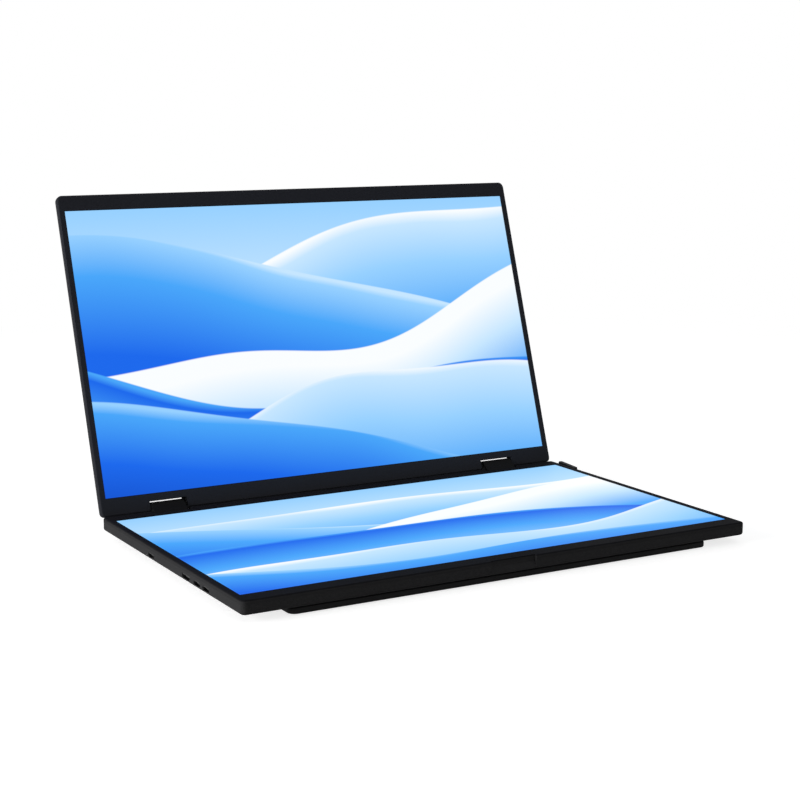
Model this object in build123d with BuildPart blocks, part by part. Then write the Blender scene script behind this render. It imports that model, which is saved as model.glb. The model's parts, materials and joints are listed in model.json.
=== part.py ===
"""A folding portable monitor: two screen halves on a geared two-axis hinge, with a stand under the base."""

import os
from math import cos, pi, radians, sin

from build123d import *

os.makedirs("parts", exist_ok=True)

# Screens: a 15.6 inch panel of 16:9 shape in each half
lit_width = 344.16
lit_height = 193.59
screen_thickness = 0.9
backlight_thickness = 1.0
tray_thickness = 0.3
tray_fit = 0.1
screen_side_border = 2.4
screen_far_border = 4.0
panel_board_width = 4.6
panel_board_thickness = 0.8
panel_board_end_gap = 57.08
panel_board_gap = 0.4

# Pose in the rest position
opening_angle = 108.57

# Casing of both halves
side_bezel = 4.7
hinge_bezel = 11.9
base_front_bezel = 12.4
lid_top_bezel = 10.8
bezel_lip = 0.6
window_margin = 0.3
base_thickness = 8.6
lid_thickness = 6.2
base_bezel_height = 2.5
lid_bezel_height = 2.0
base_front_corner_radius = 3.2
base_rear_corner_radius = 2.6
lid_top_corner_radius = 4.0
lid_hinge_corner_radius = 3.2
base_top_round = 1.4
base_bottom_round = 1.8
lid_front_chamfer = 0.9
lid_back_round = 3.0
bezel_wall = 1.3
floor_thickness = 1.0
edge_wall = 1.5
corner_wall = 2.3
tray_ledge = 2.0
tray_clearance = 0.3
overrun = 5.0

# Finger scoop in the base's front edge
scoop_width = 31.2
scoop_depth = 2.0
scoop_low_drop = 6.6
scoop_inner_drop = 3.4

# Hinge axes
axis_inset = 1.8
lid_edge_extra = 0.3
base_axis_depth = 3.9
lid_axis_depth = 2.6
closed_screen_gap = 1.7

# Hinge housings and the notches they sit in
hinge_from_side = 47.48
notch_width = 26.6
notch_reach = 5.2
notch_wall = 1.2
housing_radius = 4.4
housing_cavity_radius = 2.8
housing_side_gap = 0.6
housing_wall = 2.6
spacer_width = 5.6
spacer_end_gap = 0.12
cap_thickness = 1.6
cap_plug = 1.0
cap_fit = 0.05
bearing_plate_thickness = 2.2
plate_fit = 0.02
running_fit = 0.05

# Hinge brackets and shafts
tab_thickness = 1.6
tab_gap = 0.4
tab_radius = 2.6
arm_top = 0.2
leaf_drop = 2.0
leaf_thickness = 1.2
leaf_length = 26.0
leaf_width = 11.4
leaf_wall_gap = 0.6
slot_clearance = 0.3
journal_radius = 1.7
shaft_radius = 1.3
press_fit = 0.02
shaft_end_overhang = 1.0
washer_radius = 2.5
washer_thickness = 0.7
washer_gap = 0.05
washer_count = 6
axial_gap = 0.2
nut_width = 4.4
nut_thickness = 2.4

# Gear train between the two axes
shaft_teeth = 12
idler_teeth = 8
gear_width = 3.0
trunnion_radius = 0.5
trunnion_length = 1.6
housing_edge_round = 0.5
addendum_share = 0.85
dedendum_share = 1.2
tooth_root_share = 0.30
tooth_pitch_share = 0.205
tooth_tip_share = 0.09

# Bracket screws
bracket_screw_radius = 0.95
bracket_screw_head_radius = 1.8
bracket_screw_head_height = 0.7
bracket_screw_bite = 0.7
bracket_screw_pitch = 9.0
bracket_screw_count = 3
bracket_boss_radius = 2.4
screw_fit = 0.05

# Main board and what is on it
board_from_rear = 70.0
board_length = 112.0
board_width = 46.0
board_thickness = 0.8
board_edge_gap = 0.6
board_boss_radius = 2.2
board_boss_inset = 5.0
board_screw_radius = 0.8
board_screw_head_radius = 1.6
board_screw_head_height = 0.6
board_screw_bite = 2.0
shield_width = 26.0
shield_length = 34.0
shield_height = 2.4
shield_wall = 0.2
shield_from_edge = 14.0
chip_size = 14.0
chip_height = 1.1
memory_size = 8.0
chip_spacing = 8.0
lid_cable_width = 12.0
lid_cable_thickness = 0.3
lid_cable_overlap = 8.0
lid_cable_inset = 20.18

# Sockets in the left face, their places measured from the base's rear edge
power_socket_from_rear = 85.0
hdmi_from_rear = 139.5
first_socket_from_rear = 155.5
second_socket_from_rear = 168.5
usb_width = 8.94
hdmi_width = 11.2
hdmi_foot_width = 8.6
socket_height = 3.16
socket_wall = 0.3
socket_depth = 7.3
socket_hollow = 6.2
socket_recess = 0.25
socket_fit = 0.15
tongue_width = 6.7
hdmi_tongue_width = 7.6
tongue_thickness = 0.7
tongue_length = 4.8

# Ribbon cable from the main board to the base's panel board
ribbon_width = 16.0
ribbon_thickness = 0.3
ribbon_overlap = 12.0
ribbon_inset = 14.18
ribbon_clearance = 0.4

# Speakers and the slots under them
speaker_width = 58.0
speaker_depth = 14.0
speaker_height = 3.4
speaker_from_side = 114.78
speaker_from_rear = 46.0
grille_slot_width = 1.2
grille_slot_length = 9.0
grille_slot_pitch = 4.0
grille_slot_count = 11

# Keys on the right face
rocker_length = 20.5
rocker_from_rear = 17.8
rocker_gap = 0.8
rocker_thickness = 3.4
rocker_height = 5.0
rocker_rear_rise = 1.35
rocker_front_rise = 0.3
rocker_round = 1.0
rocker_lug_width = 5.0
rocker_lug_height = 2.4
rocker_lug_top_drop = 2.5
rocker_lug_clearance = 0.6
rocker_pivot_inset = 2.2
rocker_lug_end = 1.2
rocker_pin_radius = 0.7
rocker_pin_seat = 1.2
stem_spread = 8.0
stem_size = 1.6
stem_reach = 3.4
stem_clearance = 0.5
power_from_rear = 46.0
power_width = 9.0
power_height = 2.6
power_proud = 0.6
power_drop = 4.6
power_fit = 0.2
power_flange = 0.8
power_flange_thickness = 0.7
power_travel = 0.5
key_gap = 0.15
rocker_switch_gap = 0.5
switch_width = 4.2
switch_height = 2.6
switch_thickness = 2.0
plunger_radius = 0.8
plunger_length = 0.5
control_board_length = 52.0
control_board_from_rear = 4.0
control_board_thickness = 0.8
control_board_top_gap = 0.3

# Stand under the base
stand_gap = 0.6
stand_thickness = 3.6
stand_width = 294.0
stand_length = 114.0
stand_front_inset = 1.3
stand_corner_radius = 5.0
stand_edge_round = 0.8
stand_lug_from_end = 39.0
stand_lug_width = 12.0
stand_lug_radius = 2.3
stand_lug_gap = 0.4
stand_lug_clearance = 0.8
stand_pin_radius = 1.1
stand_pin_overhang = 9.0
stand_flange_width = 22.0
stand_flange_length = 16.0
stand_flange_thickness = 1.4
stand_screw_radius = 0.95
stand_screw_head_radius = 1.8
stand_screw_head_height = 0.7
stand_screw_spread = 7.0
stand_screw_setback = 9.0
stand_screw_bite = 2.4
stand_boss_radius = 2.4
stand_boss_height = 2.0
stand_bumper_radius = 4.0
stand_bumper_height = 0.5
stand_bumper_from_end = 27.0
stand_bumper_from_front = 14.0
foot_drop = 0.8
foot_strip_end_gap = 29.0
foot_strip_width = 9.0
foot_strip_from_front = 6.0
foot_round = 0.3
rear_foot_length = 44.0
rear_foot_width = 11.0
rear_foot_from_side = 88.78
rear_foot_from_rear = 18.0

# Derived places
case_half = (lit_width + 2 * side_bezel) / 2
lean = radians(opening_angle) - pi / 2
half_opening = radians(opening_angle) / 2
axis_spacing = base_axis_depth + lid_axis_depth + closed_screen_gap
stand_bottom = foot_drop
stand_top = stand_bottom + stand_thickness
base_bottom = stand_top + stand_gap
base_lit = base_bottom + base_thickness - bezel_lip
base_depth = hinge_bezel + lit_height + base_front_bezel
lid_height = hinge_bezel + lit_height + lid_top_bezel
lid_behind_axis = lid_thickness - bezel_lip - lid_axis_depth

# The origin lies on the desk, half way between the base's front edge and the lid's rearmost line.
front_reach = base_depth - axis_inset
lid_corner_up = lid_height - axis_inset - lid_back_round
lid_corner_back = lid_behind_axis - lid_back_round
lid_back_reach = lid_corner_up * sin(lean) + lid_corner_back * cos(lean) + lid_back_round
back_reach = axis_spacing * sin(half_opening) + lid_back_reach
base_axis_y = (front_reach - back_reach) / 2
base_axis_z = base_lit - base_axis_depth
lid_axis_y = base_axis_y + axis_spacing * sin(half_opening)
lid_axis_z = base_axis_z + axis_spacing * cos(half_opening)
base_rear = base_axis_y + axis_inset
base_front = base_rear - base_depth

# Distances from a half's hinge axis towards its far edge
lit_near = hinge_bezel - axis_inset
lit_far = lit_near + lit_height
screen_near = lit_near - screen_side_border
screen_far = lit_far + screen_far_border
screen_half = lit_width / 2 + screen_side_border
panel_board_near = screen_far + panel_board_gap
tray_far = panel_board_near + panel_board_width + tray_fit
cavity_near = notch_reach + notch_wall
seat_far = tray_far + tray_clearance
seat_half = screen_half + tray_clearance
cavity_half = seat_half - tray_ledge
cavity_far = seat_far - tray_ledge
backlight_bottom = -(screen_thickness + backlight_thickness)
tray_bottom = backlight_bottom - tray_thickness

# Places along the width, from the middle outwards, on the hinge's side
hinge_centre = case_half - hinge_from_side
notch_inner = hinge_centre - notch_width / 2
notch_outer = hinge_centre + notch_width / 2
tab_inner = notch_inner + tab_gap
tab_outer = tab_inner + tab_thickness
spacer_inner = notch_inner + spacer_end_gap
housing_inner = tab_outer + tab_gap
housing_outer = notch_outer - housing_side_gap
cavity_inner = housing_inner + housing_wall
gear_inner = cavity_inner + axial_gap
gear_outer = gear_inner + gear_width
plate_inner = gear_outer + axial_gap
plate_outer = plate_inner + bearing_plate_thickness
washer_inner = plate_outer + axial_gap
washer_pitch = washer_thickness + washer_gap
nut_inner = washer_inner + washer_count * washer_pitch
shaft_end = nut_inner + nut_thickness + shaft_end_overhang
cap_inner = housing_outer - cap_thickness
leaf_inner = tab_outer - leaf_length
leaf_near = cavity_near + leaf_wall_gap
leaf_far = leaf_near + leaf_width
module = axis_spacing / (shaft_teeth + 2 * idler_teeth)
lower_idler_place = module * (shaft_teeth + idler_teeth) / 2
upper_idler_place = axis_spacing - lower_idler_place

sides = {"left": -1, "right": 1}


class Half:
    """One half of the casing, measured from its hinge axis towards its far edge and up from its lit face."""

    def __init__(
        self, axis_y, axis_z, outward, far_sign,
        near_edge, near_corner, far_bezel, far_corner, thickness, bezel_height, axis_depth,
    ):
        self.axis_plane = Plane(origin=(0, axis_y, axis_z), x_dir=(1, 0, 0), z_dir=outward)
        self.outward = Axis((0, axis_y, axis_z), outward)
        self.far_sign = far_sign
        self.thickness = thickness
        self.near_edge = near_edge
        self.near_corner = near_corner
        self.far_edge = lit_far + far_bezel
        self.far_corner = far_corner
        self.bezel_bottom = bezel_lip - bezel_height
        self.back = bezel_lip - thickness
        self.inner_floor = self.back + floor_thickness
        self.leaf_bottom = -axis_depth - leaf_drop
        self.axis_depth = axis_depth

    def level(self, height):
        """A plane along the screen, at a height above the lit face."""
        return self.axis_plane.offset(self.axis_depth + height)

    def patch(self, height, left, right, near, far):
        """A flat rectangle on a level, between two widths and two distances from the axis."""
        with BuildSketch(self.level(height)) as flat:
            with Locations(((left + right) / 2, self.far_sign * (near + far) / 2)):
                Rectangle(right - left, far - near)
        return flat.sketch

    def discs(self, height, radius, places):
        """Flat discs on a level, each at a width and a distance from the axis."""
        with BuildSketch(self.level(height)) as flat:
            with Locations([(across, self.far_sign * along) for across, along in places]):
                Circle(radius)
        return flat.sketch

    def outline(self, height):
        """The casing's outer outline on a level, with its own corner radius at either edge."""
        with BuildSketch(self.level(height)) as flat:
            with Locations((0, self.far_sign * (self.near_edge + self.far_edge) / 2)):
                Rectangle(2 * case_half, self.far_edge - self.near_edge)
            fillet(flat.vertices().filter_by(lambda end: end.Y * self.far_sign > 0), self.far_corner)
            fillet(flat.vertices().filter_by(lambda end: end.Y * self.far_sign < 0), self.near_corner)
        return flat.sketch


base = Half(
    base_axis_y, base_axis_z, (0, 0, 1), -1,
    -axis_inset, base_rear_corner_radius, base_front_bezel, base_front_corner_radius,
    base_thickness, base_bezel_height, base_axis_depth,
)
lid = Half(
    lid_axis_y, lid_axis_z, (0, -cos(lean), sin(lean)), 1,
    -axis_inset - lid_edge_extra, lid_hinge_corner_radius, lid_top_bezel, lid_top_corner_radius,
    lid_thickness, lid_bezel_height, lid_axis_depth,
)
bracket_screw_steps = range(bracket_screw_count)
bracket_screw_row = [leaf_inner + (step + 1 / 2) * bracket_screw_pitch for step in bracket_screw_steps]
bracket_screw_along = (leaf_near + leaf_far) / 2
bracket_screw_places = [
    (sign * across, bracket_screw_along) for sign in sides.values() for across in bracket_screw_row
]


def save(piece, name):
    """Label a finished piece and write it."""
    piece.label = name
    export_step(piece, f"parts/{name}.step")


def across_plane(sign, distance):
    """A plane square to the width, at a distance from the middle, facing outwards."""
    return Plane(origin=(sign * distance, 0, 0), x_dir=(0, sign, 0), z_dir=(sign, 0, 0))


# Screen modules
def make_screen(half):
    with BuildPart() as screen:
        extrude(
            half.patch(-screen_thickness, -screen_half, screen_half, screen_near, screen_far),
            amount=screen_thickness,
        )
    return screen.part


def make_backlight(half):
    inset = tray_thickness + tray_fit
    with BuildPart() as backlight:
        extrude(
            half.patch(
                backlight_bottom,
                inset - screen_half, screen_half - inset, screen_near + inset, screen_far - inset,
            ),
            amount=backlight_thickness,
        )
    return backlight.part


def make_tray(half):
    inner_half = screen_half - tray_thickness
    with BuildPart() as tray:
        extrude(
            half.patch(tray_bottom, -screen_half, screen_half, screen_near, tray_far),
            amount=tray_thickness,
        )
        extrude(
            half.patch(backlight_bottom, -screen_half, screen_half, screen_near, screen_far),
            amount=backlight_thickness,
        )
        extrude(
            half.patch(
                backlight_bottom,
                -inner_half, inner_half, screen_near + tray_thickness, screen_far - tray_thickness,
            ),
            amount=backlight_thickness,
            mode=Mode.SUBTRACT,
        )
    return tray.part


def make_panel_board(half):
    board_half = lit_width / 2 - panel_board_end_gap
    with BuildPart() as panel_board:
        extrude(
            half.patch(
                backlight_bottom,
                -board_half, board_half,
                panel_board_near, panel_board_near + panel_board_width,
            ),
            amount=panel_board_thickness,
        )
    return panel_board.part


# Casing
def cut_notch(half, sign):
    """The outline of one hinge notch, on the level of the casing's back."""
    ends = sorted((sign * notch_inner, sign * notch_outer))
    return half.patch(half.back - overrun, *ends, half.near_edge - overrun, notch_reach)


def make_bezel(half, soften):
    with BuildPart() as bezel:
        extrude(half.outline(half.bezel_bottom), amount=bezel_lip - half.bezel_bottom)
        soften(bezel.faces().sort_by(half.outward)[-1].edges())
        extrude(
            half.patch(
                -overrun,
                -lit_width / 2 - window_margin, lit_width / 2 + window_margin,
                lit_near - window_margin, lit_far + window_margin,
            ),
            amount=bezel_lip + 2 * overrun,
            mode=Mode.SUBTRACT,
        )
        extrude(
            half.patch(
                half.bezel_bottom,
                bezel_wall - case_half, case_half - bezel_wall, cavity_near, seat_far,
            ),
            amount=-half.bezel_bottom,
            mode=Mode.SUBTRACT,
        )
        for sign in sides.values():
            extrude(cut_notch(half, sign), amount=half.thickness + 2 * overrun, mode=Mode.SUBTRACT)
    return bezel.part


def make_shell(half, back_round):
    """A shell with its cavity, its seat for the screen tray, its hinge notches and its bracket seats."""
    shell_top = half.bezel_bottom
    cavity_depth = shell_top - half.inner_floor
    with BuildPart() as shell:
        extrude(half.outline(half.back), amount=shell_top - half.back)
        fillet(shell.faces().sort_by(half.outward)[0].edges(), back_round)
        middle_end = notch_inner - edge_wall
        corner_start = notch_outer + edge_wall
        hollows = [
            (-cavity_half, cavity_half, cavity_near, cavity_far),
            (-middle_end, middle_end, half.near_edge + edge_wall, cavity_near),
            (corner_start, cavity_half, half.near_edge + corner_wall, cavity_near),
            (-cavity_half, -corner_start, half.near_edge + corner_wall, cavity_near),
        ]
        for hollow in hollows:
            extrude(half.patch(half.inner_floor, *hollow), amount=cavity_depth, mode=Mode.SUBTRACT)
        extrude(
            half.patch(tray_bottom, -seat_half, seat_half, cavity_near, seat_far),
            amount=shell_top - tray_bottom,
            mode=Mode.SUBTRACT,
        )
        boss_height = half.leaf_bottom - half.inner_floor
        if boss_height > press_fit:
            extrude(
                half.discs(half.inner_floor, bracket_boss_radius, bracket_screw_places),
                amount=boss_height,
            )
        bite = bracket_screw_bite + screw_fit
        extrude(
            half.discs(half.leaf_bottom - bite, bracket_screw_radius + screw_fit, bracket_screw_places),
            amount=bite,
            mode=Mode.SUBTRACT,
        )
        for sign in sides.values():
            extrude(cut_notch(half, sign), amount=half.thickness + 2 * overrun, mode=Mode.SUBTRACT)
            slot = sorted((sign * (tab_inner - slot_clearance), sign * (tab_outer + slot_clearance)))
            extrude(
                half.patch(half.leaf_bottom, *slot, notch_reach - tab_gap, leaf_near),
                amount=shell_top - half.leaf_bottom,
                mode=Mode.SUBTRACT,
            )
    return shell.part


for half, name in ((base, "base"), (lid, "lid")):
    save(make_screen(half), f"{name}_screen")
    save(make_backlight(half), f"{name}_backlight")
    save(make_tray(half), f"{name}_panel_tray")
    save(make_panel_board(half), f"{name}_panel_board")

save(make_shell(lid, lid_back_round), "lid_shell")
save(make_bezel(lid, lambda edges: chamfer(edges, lid_front_chamfer)), "lid_bezel")

# The finger scoop is a slanted bite out of the base's front edge.
with BuildPart() as scoop:
    with BuildSketch(Plane.YZ.offset(-scoop_width / 2)):
        with BuildLine():
            Polyline(
                (base_front - overrun, base_lit - scoop_low_drop),
                (base_front, base_lit - scoop_low_drop),
                (base_front + scoop_depth, base_lit - scoop_inner_drop),
                (base_front + scoop_depth, base_lit + overrun),
                (base_front - overrun, base_lit + overrun),
                close=True,
            )
        make_face()
    extrude(amount=scoop_width)


# Sockets in the left face
board_bottom = base_bottom + floor_thickness + socket_height
socket_mid = base_bottom + floor_thickness + socket_height / 2
mouth_plane = Plane.YZ.offset(socket_recess - case_half)


def usb_outline(plane, from_rear, grow):
    with BuildSketch(plane) as flat:
        with Locations((base_rear - from_rear, socket_mid)):
            SlotOverall(usb_width + 2 * grow, socket_height + 2 * grow)
    return flat.sketch


def hdmi_outline(plane, from_rear, grow):
    half_head = hdmi_width / 2 + grow
    half_foot = hdmi_foot_width / 2 + grow
    half_height = socket_height / 2 + grow
    with BuildSketch(plane) as flat:
        with Locations((base_rear - from_rear, socket_mid)):
            Polygon(
                (-half_head, half_height),
                (-half_head, 0),
                (-half_foot, -half_height),
                (half_foot, -half_height),
                (half_head, 0),
                (half_head, half_height),
                align=None,
            )
    return flat.sketch


sockets = {
    "usb_c_power_socket": (usb_outline, power_socket_from_rear, tongue_width),
    "mini_hdmi_socket": (hdmi_outline, hdmi_from_rear, hdmi_tongue_width),
    "usb_c_first_socket": (usb_outline, first_socket_from_rear, tongue_width),
    "usb_c_second_socket": (usb_outline, second_socket_from_rear, tongue_width),
}
for name, (outline, from_rear, _) in sockets.items():
    with BuildPart() as socket:
        extrude(outline(mouth_plane, from_rear, 0), amount=socket_depth)
        extrude(outline(mouth_plane, from_rear, -socket_wall), amount=socket_hollow, mode=Mode.SUBTRACT)
    save(socket.part, name)

with BuildPart() as socket_tongues:
    with BuildSketch(mouth_plane.offset(socket_hollow)):
        for outline, from_rear, width in sockets.values():
            with Locations((base_rear - from_rear, socket_mid)):
                Rectangle(width, tongue_thickness)
    extrude(amount=-tongue_length)
save(socket_tongues.part, "socket_tongues")

# Main board, with its parts on the underside
board_plane = Plane.XY.offset(board_bottom)
board_left = board_edge_gap - cavity_half
board_mid = (board_left + board_width / 2, base_rear - board_from_rear - board_length / 2)
board_hole_spread = (board_width - 2 * board_boss_inset, board_length - 2 * board_boss_inset)

with BuildPart() as main_board:
    with BuildSketch(board_plane):
        with Locations(board_mid):
            Rectangle(board_width, board_length)
            with GridLocations(*board_hole_spread, 2, 2):
                Circle(board_screw_radius + screw_fit, mode=Mode.SUBTRACT)
    extrude(amount=board_thickness)
save(main_board.part, "main_board")

with BuildPart() as board_screws:
    with BuildSketch(board_plane.offset(board_thickness)):
        with Locations(board_mid):
            with GridLocations(*board_hole_spread, 2, 2):
                Circle(board_screw_head_radius)
    extrude(amount=board_screw_head_height)
    with BuildSketch(board_plane.offset(board_thickness)):
        with Locations(board_mid):
            with GridLocations(*board_hole_spread, 2, 2):
                Circle(board_screw_radius)
    extrude(amount=-(board_thickness + board_screw_bite))
save(board_screws.part, "board_screws")

shield_mid = (board_left + shield_from_edge + shield_width / 2, board_mid[1])
with BuildPart() as chip_shield:
    with BuildSketch(board_plane):
        with Locations(shield_mid):
            Rectangle(shield_width, shield_length)
    extrude(amount=-shield_height)
    with BuildSketch(board_plane):
        with Locations(shield_mid):
            Rectangle(shield_width - 2 * shield_wall, shield_length - 2 * shield_wall)
    extrude(amount=-(shield_height - shield_wall), mode=Mode.SUBTRACT)
save(chip_shield.part, "chip_shield")

with BuildPart() as board_chips:
    with BuildSketch(board_plane):
        with Locations((shield_mid[0], shield_mid[1] - chip_spacing)):
            Rectangle(chip_size, chip_size)
        with Locations((shield_mid[0], shield_mid[1] + chip_spacing)):
            Rectangle(memory_size, memory_size)
    extrude(amount=-chip_height)
save(board_chips.part, "board_chips")

# Flat cable from the main board towards the left hinge, for the lid's screen
lid_cable_end = base_axis_y - cavity_near - leaf_wall_gap
lid_cable_start = base_rear - board_from_rear - lid_cable_overlap
lid_cable_mid = board_left + lid_cable_inset + lid_cable_width / 2
with BuildPart() as lid_signal_cable:
    with BuildSketch(board_plane):
        with Locations((lid_cable_mid, (lid_cable_end + lid_cable_start) / 2)):
            Rectangle(lid_cable_width, lid_cable_end - lid_cable_start)
    extrude(amount=-lid_cable_thickness)
save(lid_signal_cable.part, "lid_signal_cable")

# Ribbon cable round the tray's front edge, up to the base's panel board
ribbon_top = base_lit + backlight_bottom + panel_board_thickness
board_front = base_rear - board_from_rear - board_length
ribbon_front = base_axis_y - tray_far - ribbon_thickness
ribbon_reach = tray_far + ribbon_thickness + ribbon_clearance
board_top = board_bottom + board_thickness
ribbon_left = board_left + ribbon_inset
with BuildPart() as panel_ribbon:
    with BuildSketch(Plane.YZ.offset(ribbon_left)):
        with BuildLine():
            Polyline(
                (board_front + ribbon_overlap, board_top),
                (ribbon_front, board_top),
                (ribbon_front, ribbon_top + ribbon_thickness),
                (ribbon_front + panel_board_width, ribbon_top + ribbon_thickness),
                (ribbon_front + panel_board_width, ribbon_top),
                (ribbon_front + ribbon_thickness, ribbon_top),
                (ribbon_front + ribbon_thickness, board_top + ribbon_thickness),
                (board_front + ribbon_overlap, board_top + ribbon_thickness),
                close=True,
            )
        make_face()
    extrude(amount=ribbon_width)
save(panel_ribbon.part, "panel_ribbon")

# Speakers on the base's floor
inner_floor = base_bottom + floor_thickness
speaker_from_centre = case_half - speaker_from_side
for side, sign in sides.items():
    with BuildPart() as speaker:
        with BuildSketch(Plane.XY.offset(inner_floor)):
            with Locations((sign * speaker_from_centre, base_rear - speaker_from_rear)):
                Rectangle(speaker_width, speaker_depth)
        extrude(amount=speaker_height)
    save(speaker.part, f"speaker_{side}")

# Keys on the right face: places on the face, and the pieces that work through it
rocker_y = base_rear - rocker_from_rear
rocker_bottom = base_lit - rocker_height
lug_top = base_lit - rocker_lug_top_drop
lug_bottom = lug_top - rocker_lug_height
lug_mid = (lug_top + lug_bottom) / 2
pivot_x = case_half - rocker_pivot_inset
stem_end = case_half - stem_reach
power_place = (base_rear - power_from_rear, base_lit - power_drop)
inner_face = cavity_half - key_gap
flange_back = inner_face - power_flange_thickness
stem_places = [(rocker_y - stem_spread, lug_mid), (rocker_y + stem_spread, lug_mid)]

rocker_slope_share = (rocker_rear_rise - rocker_front_rise) / rocker_length
rocker_top_mid = base_lit + (rocker_rear_rise + rocker_front_rise) / 2
rocker_top = Plane(origin=(0, rocker_y, rocker_top_mid), z_dir=(0, -rocker_slope_share, 1))

with BuildPart() as menu_rocker:
    with BuildSketch(Plane.XY.offset(rocker_bottom)):
        with Locations((case_half + rocker_gap + rocker_thickness / 2, rocker_y)):
            RectangleRounded(rocker_thickness, rocker_length, rocker_round)
    extrude(amount=rocker_height + overrun)
    split(bisect_by=rocker_top, keep=Keep.BOTTOM)
    fillet(menu_rocker.faces().sort_by(Axis.Z)[-1].edges(), rocker_round / 2)
    fillet(menu_rocker.faces().sort_by(Axis.Z)[0].edges(), rocker_round / 2)
    lug_length = rocker_gap + rocker_pivot_inset + rocker_lug_end + rocker_round
    with BuildSketch(Plane.XY.offset(lug_bottom)):
        with Locations((pivot_x - rocker_lug_end + lug_length / 2, rocker_y)):
            Rectangle(lug_length, rocker_lug_width)
    extrude(amount=rocker_lug_height)
    with BuildSketch(Plane.XY.offset(lug_bottom)):
        with Locations((pivot_x, rocker_y)):
            Circle(rocker_pin_radius + running_fit)
    extrude(amount=rocker_lug_height, mode=Mode.SUBTRACT)
    with BuildSketch(Plane.YZ.offset(stem_end)):
        with Locations(stem_places):
            Rectangle(stem_size, stem_size)
    extrude(amount=stem_reach + rocker_gap + rocker_round)
save(menu_rocker.part, "menu_rocker")

pin_bottom = lug_bottom - stem_clearance - rocker_pin_seat
with BuildPart() as rocker_pin:
    with BuildSketch(Plane.XY.offset(pin_bottom)):
        with Locations((pivot_x, rocker_y)):
            Circle(rocker_pin_radius)
    extrude(amount=lug_top - pin_bottom)
save(rocker_pin.part, "rocker_pin")

with BuildPart() as power_button:
    with BuildSketch(Plane.YZ.offset(inner_face)):
        with Locations(power_place):
            SlotOverall(power_width, power_height)
    extrude(amount=case_half + power_proud - inner_face)
    with BuildSketch(Plane.YZ.offset(inner_face)):
        with Locations(power_place):
            SlotOverall(power_width + 2 * power_flange, power_height + 2 * power_flange)
    extrude(amount=-power_flange_thickness)
save(power_button.part, "power_button")

rocker_plunger = stem_end - rocker_switch_gap
switch_back = rocker_plunger - plunger_length - switch_thickness
power_plunger = flange_back - power_travel - key_gap
switch_face = switch_back + switch_thickness
with BuildPart() as key_switches:
    with BuildSketch(Plane.YZ.offset(switch_back)):
        with Locations(stem_places):
            Rectangle(switch_width, switch_height)
    extrude(amount=switch_thickness)
    with BuildSketch(Plane.YZ.offset(switch_face)):
        with Locations(stem_places):
            Circle(plunger_radius)
    extrude(amount=plunger_length)
    with BuildSketch(Plane.YZ.offset(switch_back)):
        with Locations(power_place):
            Rectangle(switch_width, switch_height)
    extrude(amount=power_plunger - plunger_length - switch_back)
    with BuildSketch(Plane.YZ.offset(switch_back)):
        with Locations(power_place):
            Circle(plunger_radius)
    extrude(amount=power_plunger - switch_back)
save(key_switches.part, "key_switches")

control_board_top = base_lit + tray_bottom - control_board_top_gap
with BuildPart() as control_board:
    with BuildSketch(Plane.XY.offset(inner_floor)):
        with Locations(
            (
                switch_back - control_board_thickness / 2,
                base_rear - control_board_from_rear - control_board_length / 2,
            )
        ):
            Rectangle(control_board_thickness, control_board_length)
    extrude(amount=control_board_top - inner_floor)
save(control_board.part, "control_board")

# Stand places
stand_axis_y = base_front + stand_front_inset + stand_length
stand_axis_z = (stand_bottom + stand_top) / 2
stand_lug_centre = stand_width / 2 - stand_lug_from_end
stand_screw_y = stand_axis_y + stand_screw_setback
stand_screw_places = [
    (sign * (stand_lug_centre + shift * stand_screw_spread), stand_screw_y)
    for sign in sides.values()
    for shift in (-1, 1)
]

# Base bezel: the plain bezel, with the finger scoop and room for the ribbon's bend
ribbon_room = (ribbon_left - ribbon_clearance, ribbon_left + ribbon_width + ribbon_clearance)
with BuildPart() as base_bezel:
    add(make_bezel(base, lambda edges: fillet(edges, base_top_round)))
    add(scoop.part, mode=Mode.SUBTRACT)
    extrude(
        base.patch(base.bezel_bottom, *ribbon_room, cavity_far, ribbon_reach),
        amount=-base.bezel_bottom,
        mode=Mode.SUBTRACT,
    )
save(base_bezel.part, "base_bezel")

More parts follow.
